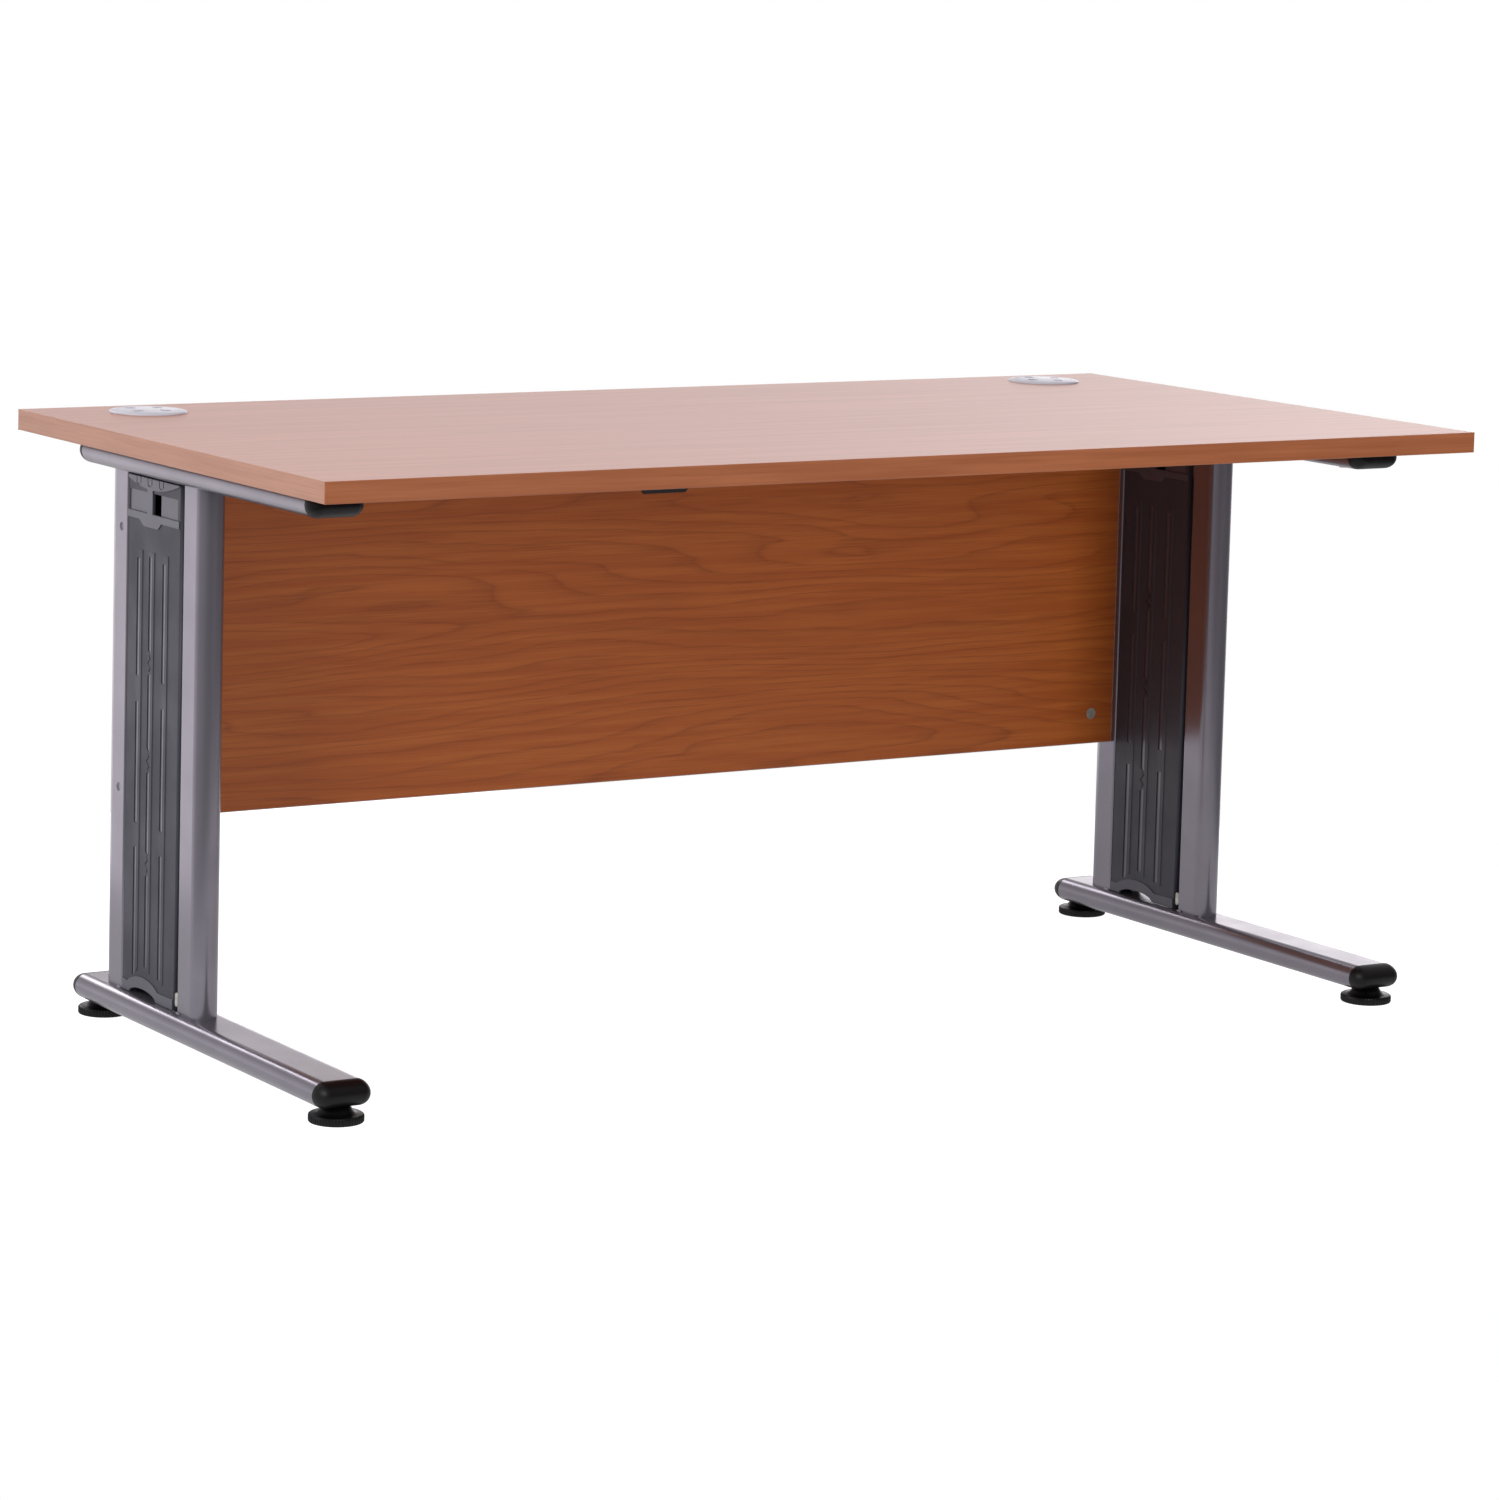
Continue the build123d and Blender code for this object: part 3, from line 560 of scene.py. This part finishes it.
def copied(piece, name, move=(0, 0, 0), mirror=(1, 1, 1), turn=0.0):
    """A copy with its own mesh: mirrored, turned about the upright axis, then moved."""
    only(piece)
    bpy.ops.object.duplicate()
    twin = bpy.context.object
    twin.name = name
    twin.scale = mirror
    twin.rotation_euler = (0, 0, turn)
    twin.location = move
    bpy.ops.object.transform_apply()
    if mirror[0] * mirror[1] * mirror[2] < 0:
        bpy.ops.object.mode_set(mode="EDIT")
        bpy.ops.mesh.select_all(action="SELECT")
        bpy.ops.mesh.normals_make_consistent(inside=False)
        bpy.ops.object.mode_set(mode="OBJECT")
    return twin


def fit(piece, body, slot, *stands_for):
    """Puts a finished piece on its body, in place of the plain nodes it stands for."""
    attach(piece, body)
    if stands_for:
        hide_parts(*stands_for)


def count(piece):
    """How many triangles a piece has."""
    return sum(len(face.vertices) - 2 for face in piece.data.polygons)


print("helpers ready")

# %% [markdown]
# ## Cable covers
#
# Each leg has a moulded ABS cover clipped into either face, between the uprights. Its face
# carries three tall louvres, broken by slits and small knots, a band over the cable arch at the
# foot, and at the top a brow with three finger marks over two sunk windows, with a T between
# them. It could be one subdivided sheet, but such crisp mouldings are easier to add and cut one
# by one. The covers are alike, so one is made with all its detail and mirrored to the others.
#
# Points on a cover are given in millimetres: depth out of its plain face, reach forward from
# its rear edge, and height above its lower edge.

# %% Cover places
cover_low, cover_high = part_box("cover_outer_right")
band_height = 1.15
face_x = cover_high.x - 1.2 * MM
cover_width = (cover_high.y - cover_low.y) / MM
cover_tall = (cover_high.z - cover_low.z) / MM


def spot(depth, reach, height):
    """A place on the right leg's outer cover."""
    return (face_x + depth * MM, cover_high.y - reach * MM, cover_low.z + height * MM)


def moulded(name, outline, inner, outer, finish):
    """A solid over an outline of (reach, height), from an inner to an outer depth."""
    corners = [spot(inner, reach, height) for reach, height in outline]
    solid = pulled(name, corners, ((outer - inner) * MM, 0, 0))
    return two_plastics(solid, finish)


def two_plastics(piece, finish):
    """Gives a part of the cover both plastics, and paints it all over with one of them."""
    for plastic in (cover_field, cover_band_painted_sheen):
        piece.data.materials.append(plastic)
    for face in piece.data.polygons:
        face.material_index = finish
    return piece


# smooth picks the polished plastic, whose paler colour is a painted sheen; field picks the textured one.
field, smooth = 0, 1
print("cover", round(cover_width, 1), "by", round(cover_tall, 1), "mm")

# %% [markdown]
# The tray is a box whose back and ends are removed. Its front edge has a broad round, its rear
# edge a small one, and Solidify gives it the wall of a moulding.

# %% Cover tray
cover_wall = 2.4
cover_return = 12.0
front_round, rear_round = 4.0, 1.8
tray_size = (cover_return * MM, cover_width * MM, cover_tall * MM)
bpy.ops.object.select_all(action="DESELECT")
middle = spot(-cover_return / 2, cover_width / 2, cover_tall / 2)
bpy.ops.mesh.primitive_cube_add(size=1, location=middle, scale=tray_size)
cover = bpy.context.object
cover.name = "cable_cover_outer_right"
bpy.ops.object.transform_apply()
bpy.ops.object.mode_set(mode="EDIT")


def upright_edge_at(y):
    """A test for the box's upright outer edge at a given y."""
    return lambda edge: all(v.co.x > face_x - MM and abs(v.co.y - y) < MM for v in edge.verts)


for y, radius in ((cover_low.y, front_round), (cover_high.y, rear_round)):
    pick("EDGE", upright_edge_at(y))
    bpy.ops.mesh.bevel(offset=radius * MM, segments=6, affect="EDGES")
pick("FACE", lambda face: face.normal.x < -0.9 or abs(face.normal.z) > 0.9)
bpy.ops.mesh.delete(type="FACE")
bpy.ops.object.mode_set(mode="OBJECT")
wall = cover.modifiers.new("wall", "SOLIDIFY")
wall.thickness = cover_wall * MM
wall.offset = -1.0
wall.use_even_offset = True
bpy.ops.object.modifier_apply(modifier=wall.name)
two_plastics(cover, field)
print("tray triangles", count(cover))

# %% [markdown]
# A louvre is a long low wedge: it rises from its rear edge to a lip, and steps down again in
# front of it. Along each rear edge runs a slit like a half-open mouth, steep at the back and
# sloping out to the front, and its slope is polished. Both are the same kind of thing, a profile
# pulled upright whose ends are cut on the slant, so one helper makes them, with bisect for the
# slanted ends. The face turned into the cover takes the polished plastic, whose paler colour is
# a painted sheen: on a slit's cutter that is the slope, and on a louvre it is buried. A column
# is a louvre with its slits: the reach of its rear edge, the louvre's lower end, the slits'
# lowest and highest point, and the breaks between them.


# %% Louvres and slits
def upright_rib(name, profile, rear, low, high):
    """A profile of (depth, reach) pulled upright, its ends cut from the rear edge to the lip.

    low and high are each the height at the rear edge and at the lip.
    """
    bottom, top = min(low) - 5, max(high) + 5
    outline = [spot(depth, rear + reach, bottom) for depth, reach in profile]
    rib = pulled(name, outline, (0, 0, (top - bottom) * MM))
    width = max(reach for _, reach in profile)
    bpy.ops.object.mode_set(mode="EDIT")
    for ends, outward in ((low, -1), (high, 1)):
        bpy.ops.mesh.select_all(action="SELECT")
        slant = (ends[1] - ends[0]) / width
        bpy.ops.mesh.bisect(
            plane_co=spot(0, rear, ends[0]),
            plane_no=(0, slant * outward, outward),
            use_fill=True,
            clear_outer=True,
        )
    rib = two_plastics(tidy_normals(), field)
    # The inward face takes the paler plastic, a painted sheen.
    for face in rib.data.polygons:
        if face.normal.x < -0.9:
            face.material_index = smooth
    return rib


rib_width, rib_rise, root = 15.5, 0.8, 1.0
slit_width, slit_depth, clear_of_face = 8.6, 1.1, 3.0
wedge = [(-root, 0), (0, 0), (rib_rise, rib_width), (0, rib_width + 0.4), (-root, rib_width + 0.4)]
mouth = [(clear_of_face, 0), (-slit_depth, 0.4), (0.25, slit_width), (clear_of_face, slit_width)]
rib_top = cover_tall - 86.6
knots = (399.6, 283.0, 159.6)
knot_half = 11.0
knot_breaks = [(knot - knot_half, knot + knot_half) for knot in knots]
outer_breaks = ((351.0, 380.0), (176.5, 204.3))
middle_rear = 57.0
columns = [
    (25.0, (21.0, 29.5), 22.0, cover_tall - 97.0, outer_breaks),
    (middle_rear, (37.0, 30.0), 36.5, cover_tall - 92.7, knot_breaks),
    (93.5, (27.0, 24.0), 28.0, cover_tall - 97.0, outer_breaks),
]
ribs, slits = [], []
for rear, rib_bottom, slit_bottom, slit_top, breaks in columns:
    ribs.append(upright_rib("rib", wedge, rear, rib_bottom, (rib_top, rib_top)))
    limits = sorted([slit_bottom, slit_top] + [limit for gap in breaks for limit in gap])
    slant = 4.0 if rear == middle_rear else 1.5
    for low, high in zip(limits[::2], limits[1::2]):
        low_end = (low, low) if low == slit_bottom else (low + slant, low)
        high_end = (high, high) if high == slit_top else (high - slant, high)
        slits.append(upright_rib("slit", mouth, rear, low_end, high_end))
combine(cover, joined(ribs), "UNION")
print("ribs", len(ribs), "slits", len(slits))

# %% [markdown]
# Brow, post, bar and tab are one outline, drawn round once, so that they meet without a seam.
# The brow's lower edge is a shallow arch. The band over the cable arch runs out into a skirt on
# both sides.

# %% Raised bands
centre_line = 65.5
side_margin = 1.5


def brow_edge(reach):
    """Height of the brow's arched lower edge."""
    return cover_tall - 13.5 + 10.8 * ((reach - centre_line) / 68.0) ** 2


def arc(start, end, steps):
    """Evenly spread values from start to end."""
    return [start + (end - start) * step / steps for step in range(steps + 1)]


def oval(middle, half_width, half_height, start, end, steps, base=0.0):
    """Points of an ellipse between two angles; angle 0 points to the rear."""
    return [(middle - half_width * cos(a), base + half_height * sin(a)) for a in arc(start, end, steps)]


front_margin = cover_width - 5.0
post = (52.5, 66.5)
bar = (cover_tall - 50.5, cover_tall - 42.0)
tab_low = cover_tall - 57.8
head = [(front_margin, cover_tall - 0.4), (side_margin, cover_tall - 0.4)]
head += [(reach, brow_edge(reach)) for reach in arc(side_margin, post[0], 8)]
head += [(post[0], bar[1]), (-0.3, bar[1]), (-0.3, bar[0]), (31.5, bar[0]), (43.5, tab_low)]
head += [(81.0, tab_low), (90.0, bar[0]), (front_margin, bar[0]), (front_margin, bar[1]), (post[1], bar[1])]
head += [(reach, brow_edge(reach)) for reach in arc(post[1], front_margin, 10)]

arch_middle, skirt_top = 56.5, 13.0
band_half, band_tall = 48.0, 23.0
band_start = 0.573
foot = [(side_margin, 0.3), (side_margin, skirt_top)]
foot += oval(arch_middle, band_half, band_tall, band_start, pi - band_start, 24)
foot += [(front_margin, skirt_top), (front_margin, 0.3)]
bands = [moulded("band", outline, -root, band_height, smooth) for outline in (head, foot)]
combine(cover, joined(bands), "UNION")
print("cover triangles", count(cover))

# %% [markdown]
# Everything sunk comes last, in two rounds, because two cutters that overlap would confuse a
# single cut: first the slits, knots, finger marks and window floors, then the openings that go
# right through. A knot is a short zigzag groove where the middle slit is bridged.


# %% Sunk details
def knot(middle):
    """Zigzag groove across the middle column."""
    path = [(3.5, 10.0), (7.5, 6.0), (0.4, 0.0), (7.5, -5.5), (3.5, -10.0)]
    half = 1.1
    right = [(middle_rear + reach + half, middle + height) for reach, height in path]
    left = [(middle_rear + reach - half, middle + height) for reach, height in reversed(path)]
    return moulded("knot", right + left, -sunk_depth, clear_of_face, field)


def finger_mark(reach):
    """U-shaped line, open to the brow's top edge."""
    half_wide, half_deep, line, mark_depth = 6.25, 3.25, 1.6, 0.8
    straight, top = cover_tall - 7.0, cover_tall + 1.0
    outer = oval(reach, half_wide, half_deep, 0.0, -pi, 12, straight)
    inner = oval(reach, half_wide - line, half_deep - line, -pi, 0.0, 12, straight)
    outline = [(outer[0][0], top)] + outer + [(outer[-1][0], top)]
    outline += [(inner[0][0], top)] + inner + [(inner[-1][0], top)]
    return moulded("finger_mark", outline, band_height - mark_depth, clear_of_face, smooth)


def window(first, last, low, high):
    """Shallow flat-bottomed recess."""
    outline = [(first, low), (last, low), (last, high), (first, high)]
    return moulded("window", outline, -sunk_depth, clear_of_face, smooth)


def on_a_round_edge(face):
    """True for the narrow upright faces that make the tray's two rounded edges."""
    normal, y = face.normal, face.calc_center_median().y
    leans = 0.02 < abs(normal.y) < 0.999 and abs(normal.x) > 0.02 and abs(normal.z) < 0.01
    in_front = y < cover_low.y + (front_round + 0.2) * MM
    behind = y > cover_high.y - (rear_round + 0.2) * MM
    return leans and (in_front or behind)


sunk_depth = 0.9
sunk = slits + [knot(middle) for middle in knots] + [finger_mark(reach) for reach in (29.3, 59.0, 89.8)]
window_low, window_high = cover_tall - 41.8, cover_tall - 17.0
sunk += [window(first, last, window_low, window_high) for first, last in ((3.3, 51.7), (67.1, 132.0))]
combine(cover, joined(sunk), "DIFFERENCE")
arch_half_wide, arch_half_tall = 36.0, 9.2
arch_outline = oval(arch_middle, arch_half_wide, arch_half_tall, 0.0, 2 * pi, 48)[:-1]
arch = moulded("arch", arch_outline, -20.0, 5.0, smooth)
slot_outline = [(67.1, window_low), (86.5, window_low), (86.5, window_high), (67.1, window_high)]
slot_cut = moulded("slot", slot_outline, -8.0, 5.0, field)
combine(cover, joined([arch, slot_cut]), "DIFFERENCE")
only(cover)
bpy.ops.object.mode_set(mode="EDIT")
pick("FACE", lambda face: True)
bpy.ops.mesh.faces_shade_flat()
pick("FACE", on_a_round_edge)
bpy.ops.mesh.faces_shade_smooth()
bpy.ops.object.mode_set(mode="OBJECT")
print("finished cover triangles", count(cover))

# %% Four covers
across_leg = {"mirror": (-1, 1, 1), "move": (2 * leg_x, 0, 0)}
covers = {
    "outer_right": cover,
    "inner_right": copied(cover, "cable_cover_inner_right", **across_leg),
    "outer_left": copied(cover, "cable_cover_outer_left", mirror=(-1, 1, 1)),
    "inner_left": copied(cover, "cable_cover_inner_left", move=(-2 * leg_x, 0, 0)),
}
for side, piece in covers.items():
    fit(piece, "cover_" + side, "cover_plastic", "cover_" + side)
print("covers", [piece.name for piece in covers.values()])

# %% [markdown]
# ## End caps
#
# Rails and feet end in soft black domes with the tube's own flat-oval section. The dome is a
# ball pulled apart at its middle into a capsule, cut in half, and stretched along the tube. An
# odd number of rings puts a band of faces across the ball's middle, and that band becomes the
# straight part. Behind the dome a plug is drawn in and pushed back into the tube.

# %% One cap, facing forward from the origin
tube_wall, plug_gap, plug_length = 2.0, 0.2, 9.0
cap_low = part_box("foot_cap_front_right")[0]
cap_length = foot_low.y - cap_low.y
oval_half_width = (foot_high.x - foot_low.x) / 2
half_straight = oval_half_width - oval_round
bpy.ops.object.select_all(action="DESELECT")
bpy.ops.mesh.primitive_uv_sphere_add(segments=64, ring_count=33, radius=oval_round, rotation=(0, pi / 2, 0))
cap = bpy.context.object
bpy.ops.object.transform_apply()
bpy.ops.object.mode_set(mode="EDIT")
for side in (-1, 1):
    pick("VERT", lambda vert: vert.co.x * side > 0)
    bpy.ops.transform.translate(value=(side * half_straight, 0, 0))
bpy.ops.mesh.select_all(action="SELECT")
bpy.ops.mesh.bisect(plane_co=(0, 0, 0), plane_no=(0, 1, 0), use_fill=False, clear_outer=True)
bpy.ops.mesh.select_all(action="SELECT")
bpy.ops.transform.resize(value=(1, cap_length / oval_round, 1), center_override=(0, 0, 0))
pick("EDGE", lambda edge: all(abs(v.co.y) < 0.01 * MM for v in edge.verts))
bpy.ops.mesh.edge_face_add()
pick("FACE", lambda face: face.normal.y > 0.9 or len(face.verts) > 20)
bpy.ops.mesh.inset(thickness=(tube_wall + plug_gap) * MM)
bpy.ops.mesh.extrude_region_move(TRANSFORM_OT_translate={"value": (0, plug_length * MM, 0)})
cap = tidy_normals()
bpy.ops.object.shade_smooth_by_angle(angle=radians(40))
cap.data.materials.append(cap_plastic)
print("cap triangles", count(cap))

# %% Eight caps
rail_middle = (rail_low.z + rail_high.z) / 2
foot_middle = (foot_low.z + foot_high.z) / 2
tubes = {"rail": (rail_low.y, rail_high.y, rail_middle), "foot": (foot_low.y, foot_high.y, foot_middle)}
for tube, (front, rear, height) in tubes.items():
    for end, y, mirror in (("front", front, (1, 1, 1)), ("rear", rear, (1, -1, 1))):
        for side, x in (("left", -leg_x), ("right", leg_x)):
            name = f"{tube}_cap_{end}_{side}"
            piece = copied(cap, "domed_" + name, move=(x, y, height), mirror=mirror)
            fit(piece, "desk_frame", "cap_plastic", name)
bpy.data.objects.remove(cap)

# %% [markdown]
# ## Levelling feet
#
# A levelling foot is a round nylon pad on a threaded stud. The pad is a turned shape, so its
# profile is drawn once and spun. The rim is knurled for the fingers: every other column of its
# corners is drawn in by less than a millimetre.

# %% Levelling pads
pad_low, pad_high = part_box("leveller_pad_front_right")
pad_radius = (pad_high.x - pad_low.x) / 2
pad_y = (pad_low.y + pad_high.y) / 2
pad_top = pad_high.z
stud_hole = 4.05 * MM
rim_top, hub_radius, shoulder = 9.5 * MM, 18.0 * MM, 24.0 * MM
profile = [
    (0, 0),
    (pad_radius - 2.0 * MM, 0),
    (pad_radius - 0.6 * MM, 0.5 * MM),
    (pad_radius, 1.8 * MM),
    (pad_radius, rim_top - 1.8 * MM),
    (pad_radius - 0.6 * MM, rim_top - 0.6 * MM),
    (pad_radius - 2.0 * MM, rim_top),
    (shoulder, rim_top + 0.2 * MM),
    (hub_radius + 3.2 * MM, rim_top + 1.4 * MM),
    (hub_radius + 0.8 * MM, rim_top + 4.2 * MM),
    (hub_radius - 1.6 * MM, pad_top - 1.0 * MM),
    (hub_radius - 2.8 * MM, pad_top),
    (stud_hole + 1.0 * MM, pad_top),
    (stud_hole, pad_top - 1.0 * MM),
    (stud_hole, 4.0 * MM),
    (0, 4.0 * MM),
]
knurls, knurl_depth = 54, 0.8
pad = turned("knurled_pad", profile, (leg_x, pad_y), 2 * knurls)
bpy.ops.object.mode_set(mode="EDIT")


def in_a_groove(vert):
    """True for every other column of the rim."""
    across, along = vert.co.x - leg_x, vert.co.y - pad_y
    column = round(atan2(along, across) / (pi / knurls))
    return hypot(across, along) > pad_radius - 0.7 * MM and column % 2 == 1


grooved = pick("VERT", in_a_groove)
squeeze = 1 - knurl_depth * MM / pad_radius
bpy.ops.transform.resize(value=(squeeze, squeeze, 1), center_override=(leg_x, pad_y, 0))
bpy.ops.object.mode_set(mode="OBJECT")
bpy.ops.object.shade_smooth_by_angle(angle=radians(28))
pad.data.materials.append(foot_plastic)
rear_low, rear_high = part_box("leveller_pad_rear_right")
to_rear = (rear_low.y + rear_high.y) / 2 - pad_y
for end, shift_y in (("front", 0), ("rear", to_rear)):
    for side, shift_x in (("left", -2 * leg_x), ("right", 0)):
        piece = copied(pad, f"knurled_pad_{end}_{side}", move=(shift_x, shift_y, 0))
        fit(piece, f"leveller_{end}_{side}", "leveller_plastic", f"leveller_pad_{end}_{side}")
bpy.data.objects.remove(pad)
print("pads knurled at", grooved, "corners")

# %% [markdown]
# ## Cable grommets
#
# A grommet is two turned mouldings: a liner whose domed rim rests on the worktop, and a slightly
# crowned lid that sits in it, with four rounded ports for cables. The rim's curve is a quarter
# of an ellipse, and the ports are cut through the lid with one rounded block, turned to each
# corner.

# %% Grommet liners
liner_low, liner_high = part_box("grommet_liner_right")
grommet_x, grommet_y = (liner_low.x + liner_high.x) / 2, (liner_low.y + liner_high.y) / 2
top_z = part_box("edging_front")[1].z
rim_radius = (liner_high.x - liner_low.x) / 2
rim_top = liner_high.z
bore, inside, ledge = 39.8 * MM, 37.6 * MM, 34 * MM
ledge_top, ledge_under = top_z - 3 * MM, top_z - 4.5 * MM
rim_curve = [
    (bore + (rim_radius - bore) * cos(a), top_z + 0.6 * MM + (rim_top - top_z - 0.6 * MM) * sin(a))
    for a in arc(0.0, pi / 2, 8)
]
profile = [(inside, liner_low.z), (bore, liner_low.z), (bore, top_z), (rim_radius, top_z)]
profile += rim_curve
profile += [(inside + 0.5 * MM, rim_top - 0.05 * MM), (inside, rim_top - 0.5 * MM)]
profile += [(inside, ledge_top), (ledge, ledge_top), (ledge, ledge_under), (inside, ledge_under)]
liner = turned("domed_grommet_liner_right", profile, (grommet_x, grommet_y), 96)
bpy.ops.object.shade_smooth_by_angle(angle=radians(35))
liner.data.materials.append(grommet_plastic)
liners = {"right": liner, "left": copied(liner, "domed_grommet_liner_left", move=(-2 * grommet_x, 0, 0))}
for side, piece in liners.items():
    fit(piece, "desk_frame", "grommet_plastic", "grommet_liner_" + side)
print("liner triangles", count(liner))

# %% Grommet lids
lid_low, lid_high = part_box("grommet_lid_right")
lid_radius = (lid_high.x - lid_low.x) / 2
crown = lid_high.z - rim_top
skirt_inside = 34.8 * MM
rings = [radius * MM for radius in (0, 8, 16, 24, 31, 35)]
profile = [(radius, rim_top + crown * (1 - (radius / lid_radius) ** 2)) for radius in rings]
profile += [
    (lid_radius - 0.3 * MM, rim_top - 0.2 * MM),
    (lid_radius, rim_top - 0.8 * MM),
    (lid_radius, lid_low.z),
    (skirt_inside, lid_low.z),
    (skirt_inside, rim_top - 2.6 * MM),
    (0, rim_top - 2.0 * MM),
]
lid = turned("ported_lid", profile, (0, 0), 96)
port_half, port_round, port_step = 6.5, 4.0, 17.0
cutter_foot, cutter_height = 0.7, 0.05
corner = port_half - port_round
corners = ((corner, corner), (-corner, corner), (-corner, -corner), (corner, -corner))
ports = []
for turn in arc(pi / 4, 7 * pi / 4, 3):
    centre = (port_step * MM * 2**0.5 * cos(turn), port_step * MM * 2**0.5 * sin(turn))
    outline = []
    for quarter, (across, along) in enumerate(corners):
        for a in arc(quarter * pi / 2, (quarter + 1) * pi / 2, 6):
            x = centre[0] + (across + port_round * cos(a)) * MM
            y = centre[1] + (along + port_round * sin(a)) * MM
            outline.append((x, y, cutter_foot))
    ports.append(pulled("port", outline, (0, 0, cutter_height)))
combine(lid, joined(ports), "DIFFERENCE")
only(lid)
bpy.ops.object.shade_smooth_by_angle(angle=radians(30))
lid.data.materials.append(grommet_plastic)
for side, x, turn in (("left", -grommet_x, -8.0), ("right", grommet_x, -28.0)):
    piece = copied(lid, "ported_lid_" + side, move=(x, grommet_y, 0), turn=radians(turn))
    fit(piece, "grommet_lid_" + side, "grommet_plastic", "grommet_lid_" + side)
print("lid triangles", count(lid))
bpy.data.objects.remove(lid)

# %% [markdown]
# ## Welds
#
# The uprights are welded to the feet along their straight sides. A weld is a row of small
# overlapping ripples under the same coat as the tubes. A small ring is extruded step by step
# along the joint: it swells from a blunt end, and then every other ring is drawn in, which
# gives the ripples.

# %% Weld beads
ripple, bead_radius, bead_sides = 2.4, 2.6, 10
blunt_end, swell, waist = 0.55, 1.7, 0.72
straight = {"front": (40.0, 49.5), "rear": (0.5, 10.0)}
beads = []
for place, (first, last) in straight.items():
    start_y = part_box(f"{place}_upright_right")[0].y + first * MM
    steps = round((last - first) / ripple)
    for side in (-1, 1):
        centre = (leg_x + side * upright_half, start_y, foot_high.z - 0.3 * MM)
        bpy.ops.object.select_all(action="DESELECT")
        bpy.ops.mesh.primitive_circle_add(
            vertices=bead_sides,
            radius=bead_radius * MM * blunt_end,
            fill_type="NGON",
            location=centre,
            rotation=(pi / 2, 0, 0),
        )
        bpy.ops.object.transform_apply()
        bpy.ops.object.mode_set(mode="EDIT")
        bpy.ops.mesh.select_all(action="SELECT")
        for step in range(steps):
            bpy.ops.mesh.extrude_region_move(TRANSFORM_OT_translate={"value": (0, ripple * MM, 0)})
            wide = waist if step % 2 else 1 / waist
            if step == 0:
                wide = swell
            here = (centre[0], start_y + (step + 1) * ripple * MM, centre[2])
            bpy.ops.transform.resize(value=(wide, 1, wide), center_override=here)
        beads.append(tidy_normals())
weld = joined(beads)
weld.name = "weld_beads_right"
bpy.ops.object.shade_smooth_by_angle(angle=radians(60))
weld.data.materials.append(silver_coat)
for piece in (weld, copied(weld, "weld_beads_left", move=(-2 * leg_x, 0, 0))):
    fit(piece, "desk_frame", "leg_steel")
print("weld triangles", count(weld))

# %% [markdown]
# ## Blanking caps
#
# The panel's bolts are tightened through round holes in the rear uprights' outer faces. Each
# hole is closed by a small pressed dish, coated like the tube and let in flush with it. It is
# turned lying flat and then stood on its side. A drawn circle in the coat would be simpler, but
# only a real hollow gives the little crescent of light.

# %% Blanking caps over the bolt holes
bolt_low, bolt_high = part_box("panel_bolts")
bolt_radius = 5.0 * MM
dish = [(0, -1.7), (2.4, -1.6), (3.9, -1.1), (4.8, -0.3), (5.35, -0.02), (5.35, -2.6), (0, -2.6)]
cap_dish = turned("blanking_cap", [(radius * MM, height * MM) for radius, height in dish], (0, 0), 48)
cap_dish.rotation_euler = (0, pi / 2, 0)
only(cap_dish)
bpy.ops.object.transform_apply()
bpy.ops.object.shade_smooth_by_angle(angle=radians(50))
cap_dish.data.materials.append(silver_coat)
bolt_y = (bolt_low.y + bolt_high.y) / 2
bolt_heights = {"low": bolt_low.z + bolt_radius, "high": bolt_high.z - bolt_radius}
for side, way in (("left", -1), ("right", 1)):
    for level, z in bolt_heights.items():
        place = (way * (leg_x + upright_half), bolt_y, z)
        fit(copied(cap_dish, f"blanking_cap_{level}_{side}", place, (way, 1, 1)), "desk_frame", "leg_steel")
bpy.data.objects.remove(cap_dish)
print("blanking caps at", {level: round(z, 3) for level, z in bolt_heights.items()})

# %% [markdown]
# ## Clip tabs
#
# A steel tab bridges the gap between the front upright and each cover, and the cover's front
# edge bears on it. The low one reaches nearly to the cover's face. It is a flat bar with round
# ends, zinc plated, so its end shows in the dark gap as a small bright stroke. A button is
# turned lying flat, stood on its side and stretched upright. A stretched box would need its
# ends rounded afterwards.

# %% Clip tabs in the covers' front gaps
pin_low, pin_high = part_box("cover_pins")
tab_radius = (pin_high.y - pin_low.y) / 2
tab_tall, tab_reach, tab_edge = 17.0 * MM, 3.8 * MM, 0.7 * MM
button = [
    (0, 0),
    (tab_radius, 0),
    (tab_radius, tab_reach - tab_edge),
    (tab_radius - tab_edge, tab_reach),
    (0, tab_reach),
]
tab = turned("clip_tab", button, (0, 0), 32)
tab.rotation_euler = (0, pi / 2, 0)
only(tab)
bpy.ops.object.transform_apply()
bpy.ops.object.mode_set(mode="EDIT")
pick("VERT", lambda vert: vert.co.z > 0.01 * MM)
bpy.ops.transform.translate(value=(0, 0, tab_tall - 2 * tab_radius))
bpy.ops.object.mode_set(mode="OBJECT")
bpy.ops.object.shade_smooth_by_angle(angle=radians(40))
tab.data.materials.append(zinc)
for side, way in (("left", -1), ("right", 1)):
    ends = []
    for out in (1, -1):
        place = (way * (leg_x + out * (pin_high.x - leg_x)), pin_low.y + tab_radius, pin_low.z + tab_radius)
        ends.append(copied(tab, "tab_end", place, (way * out, 1, 1)))
    clip_tabs = joined(ends)
    clip_tabs.name = f"clip_tabs_{side}"
    fit(clip_tabs, "desk_frame", "fixing_steel")
bpy.data.objects.remove(tab)
print("clip tabs", count(clip_tabs), "triangles a side")
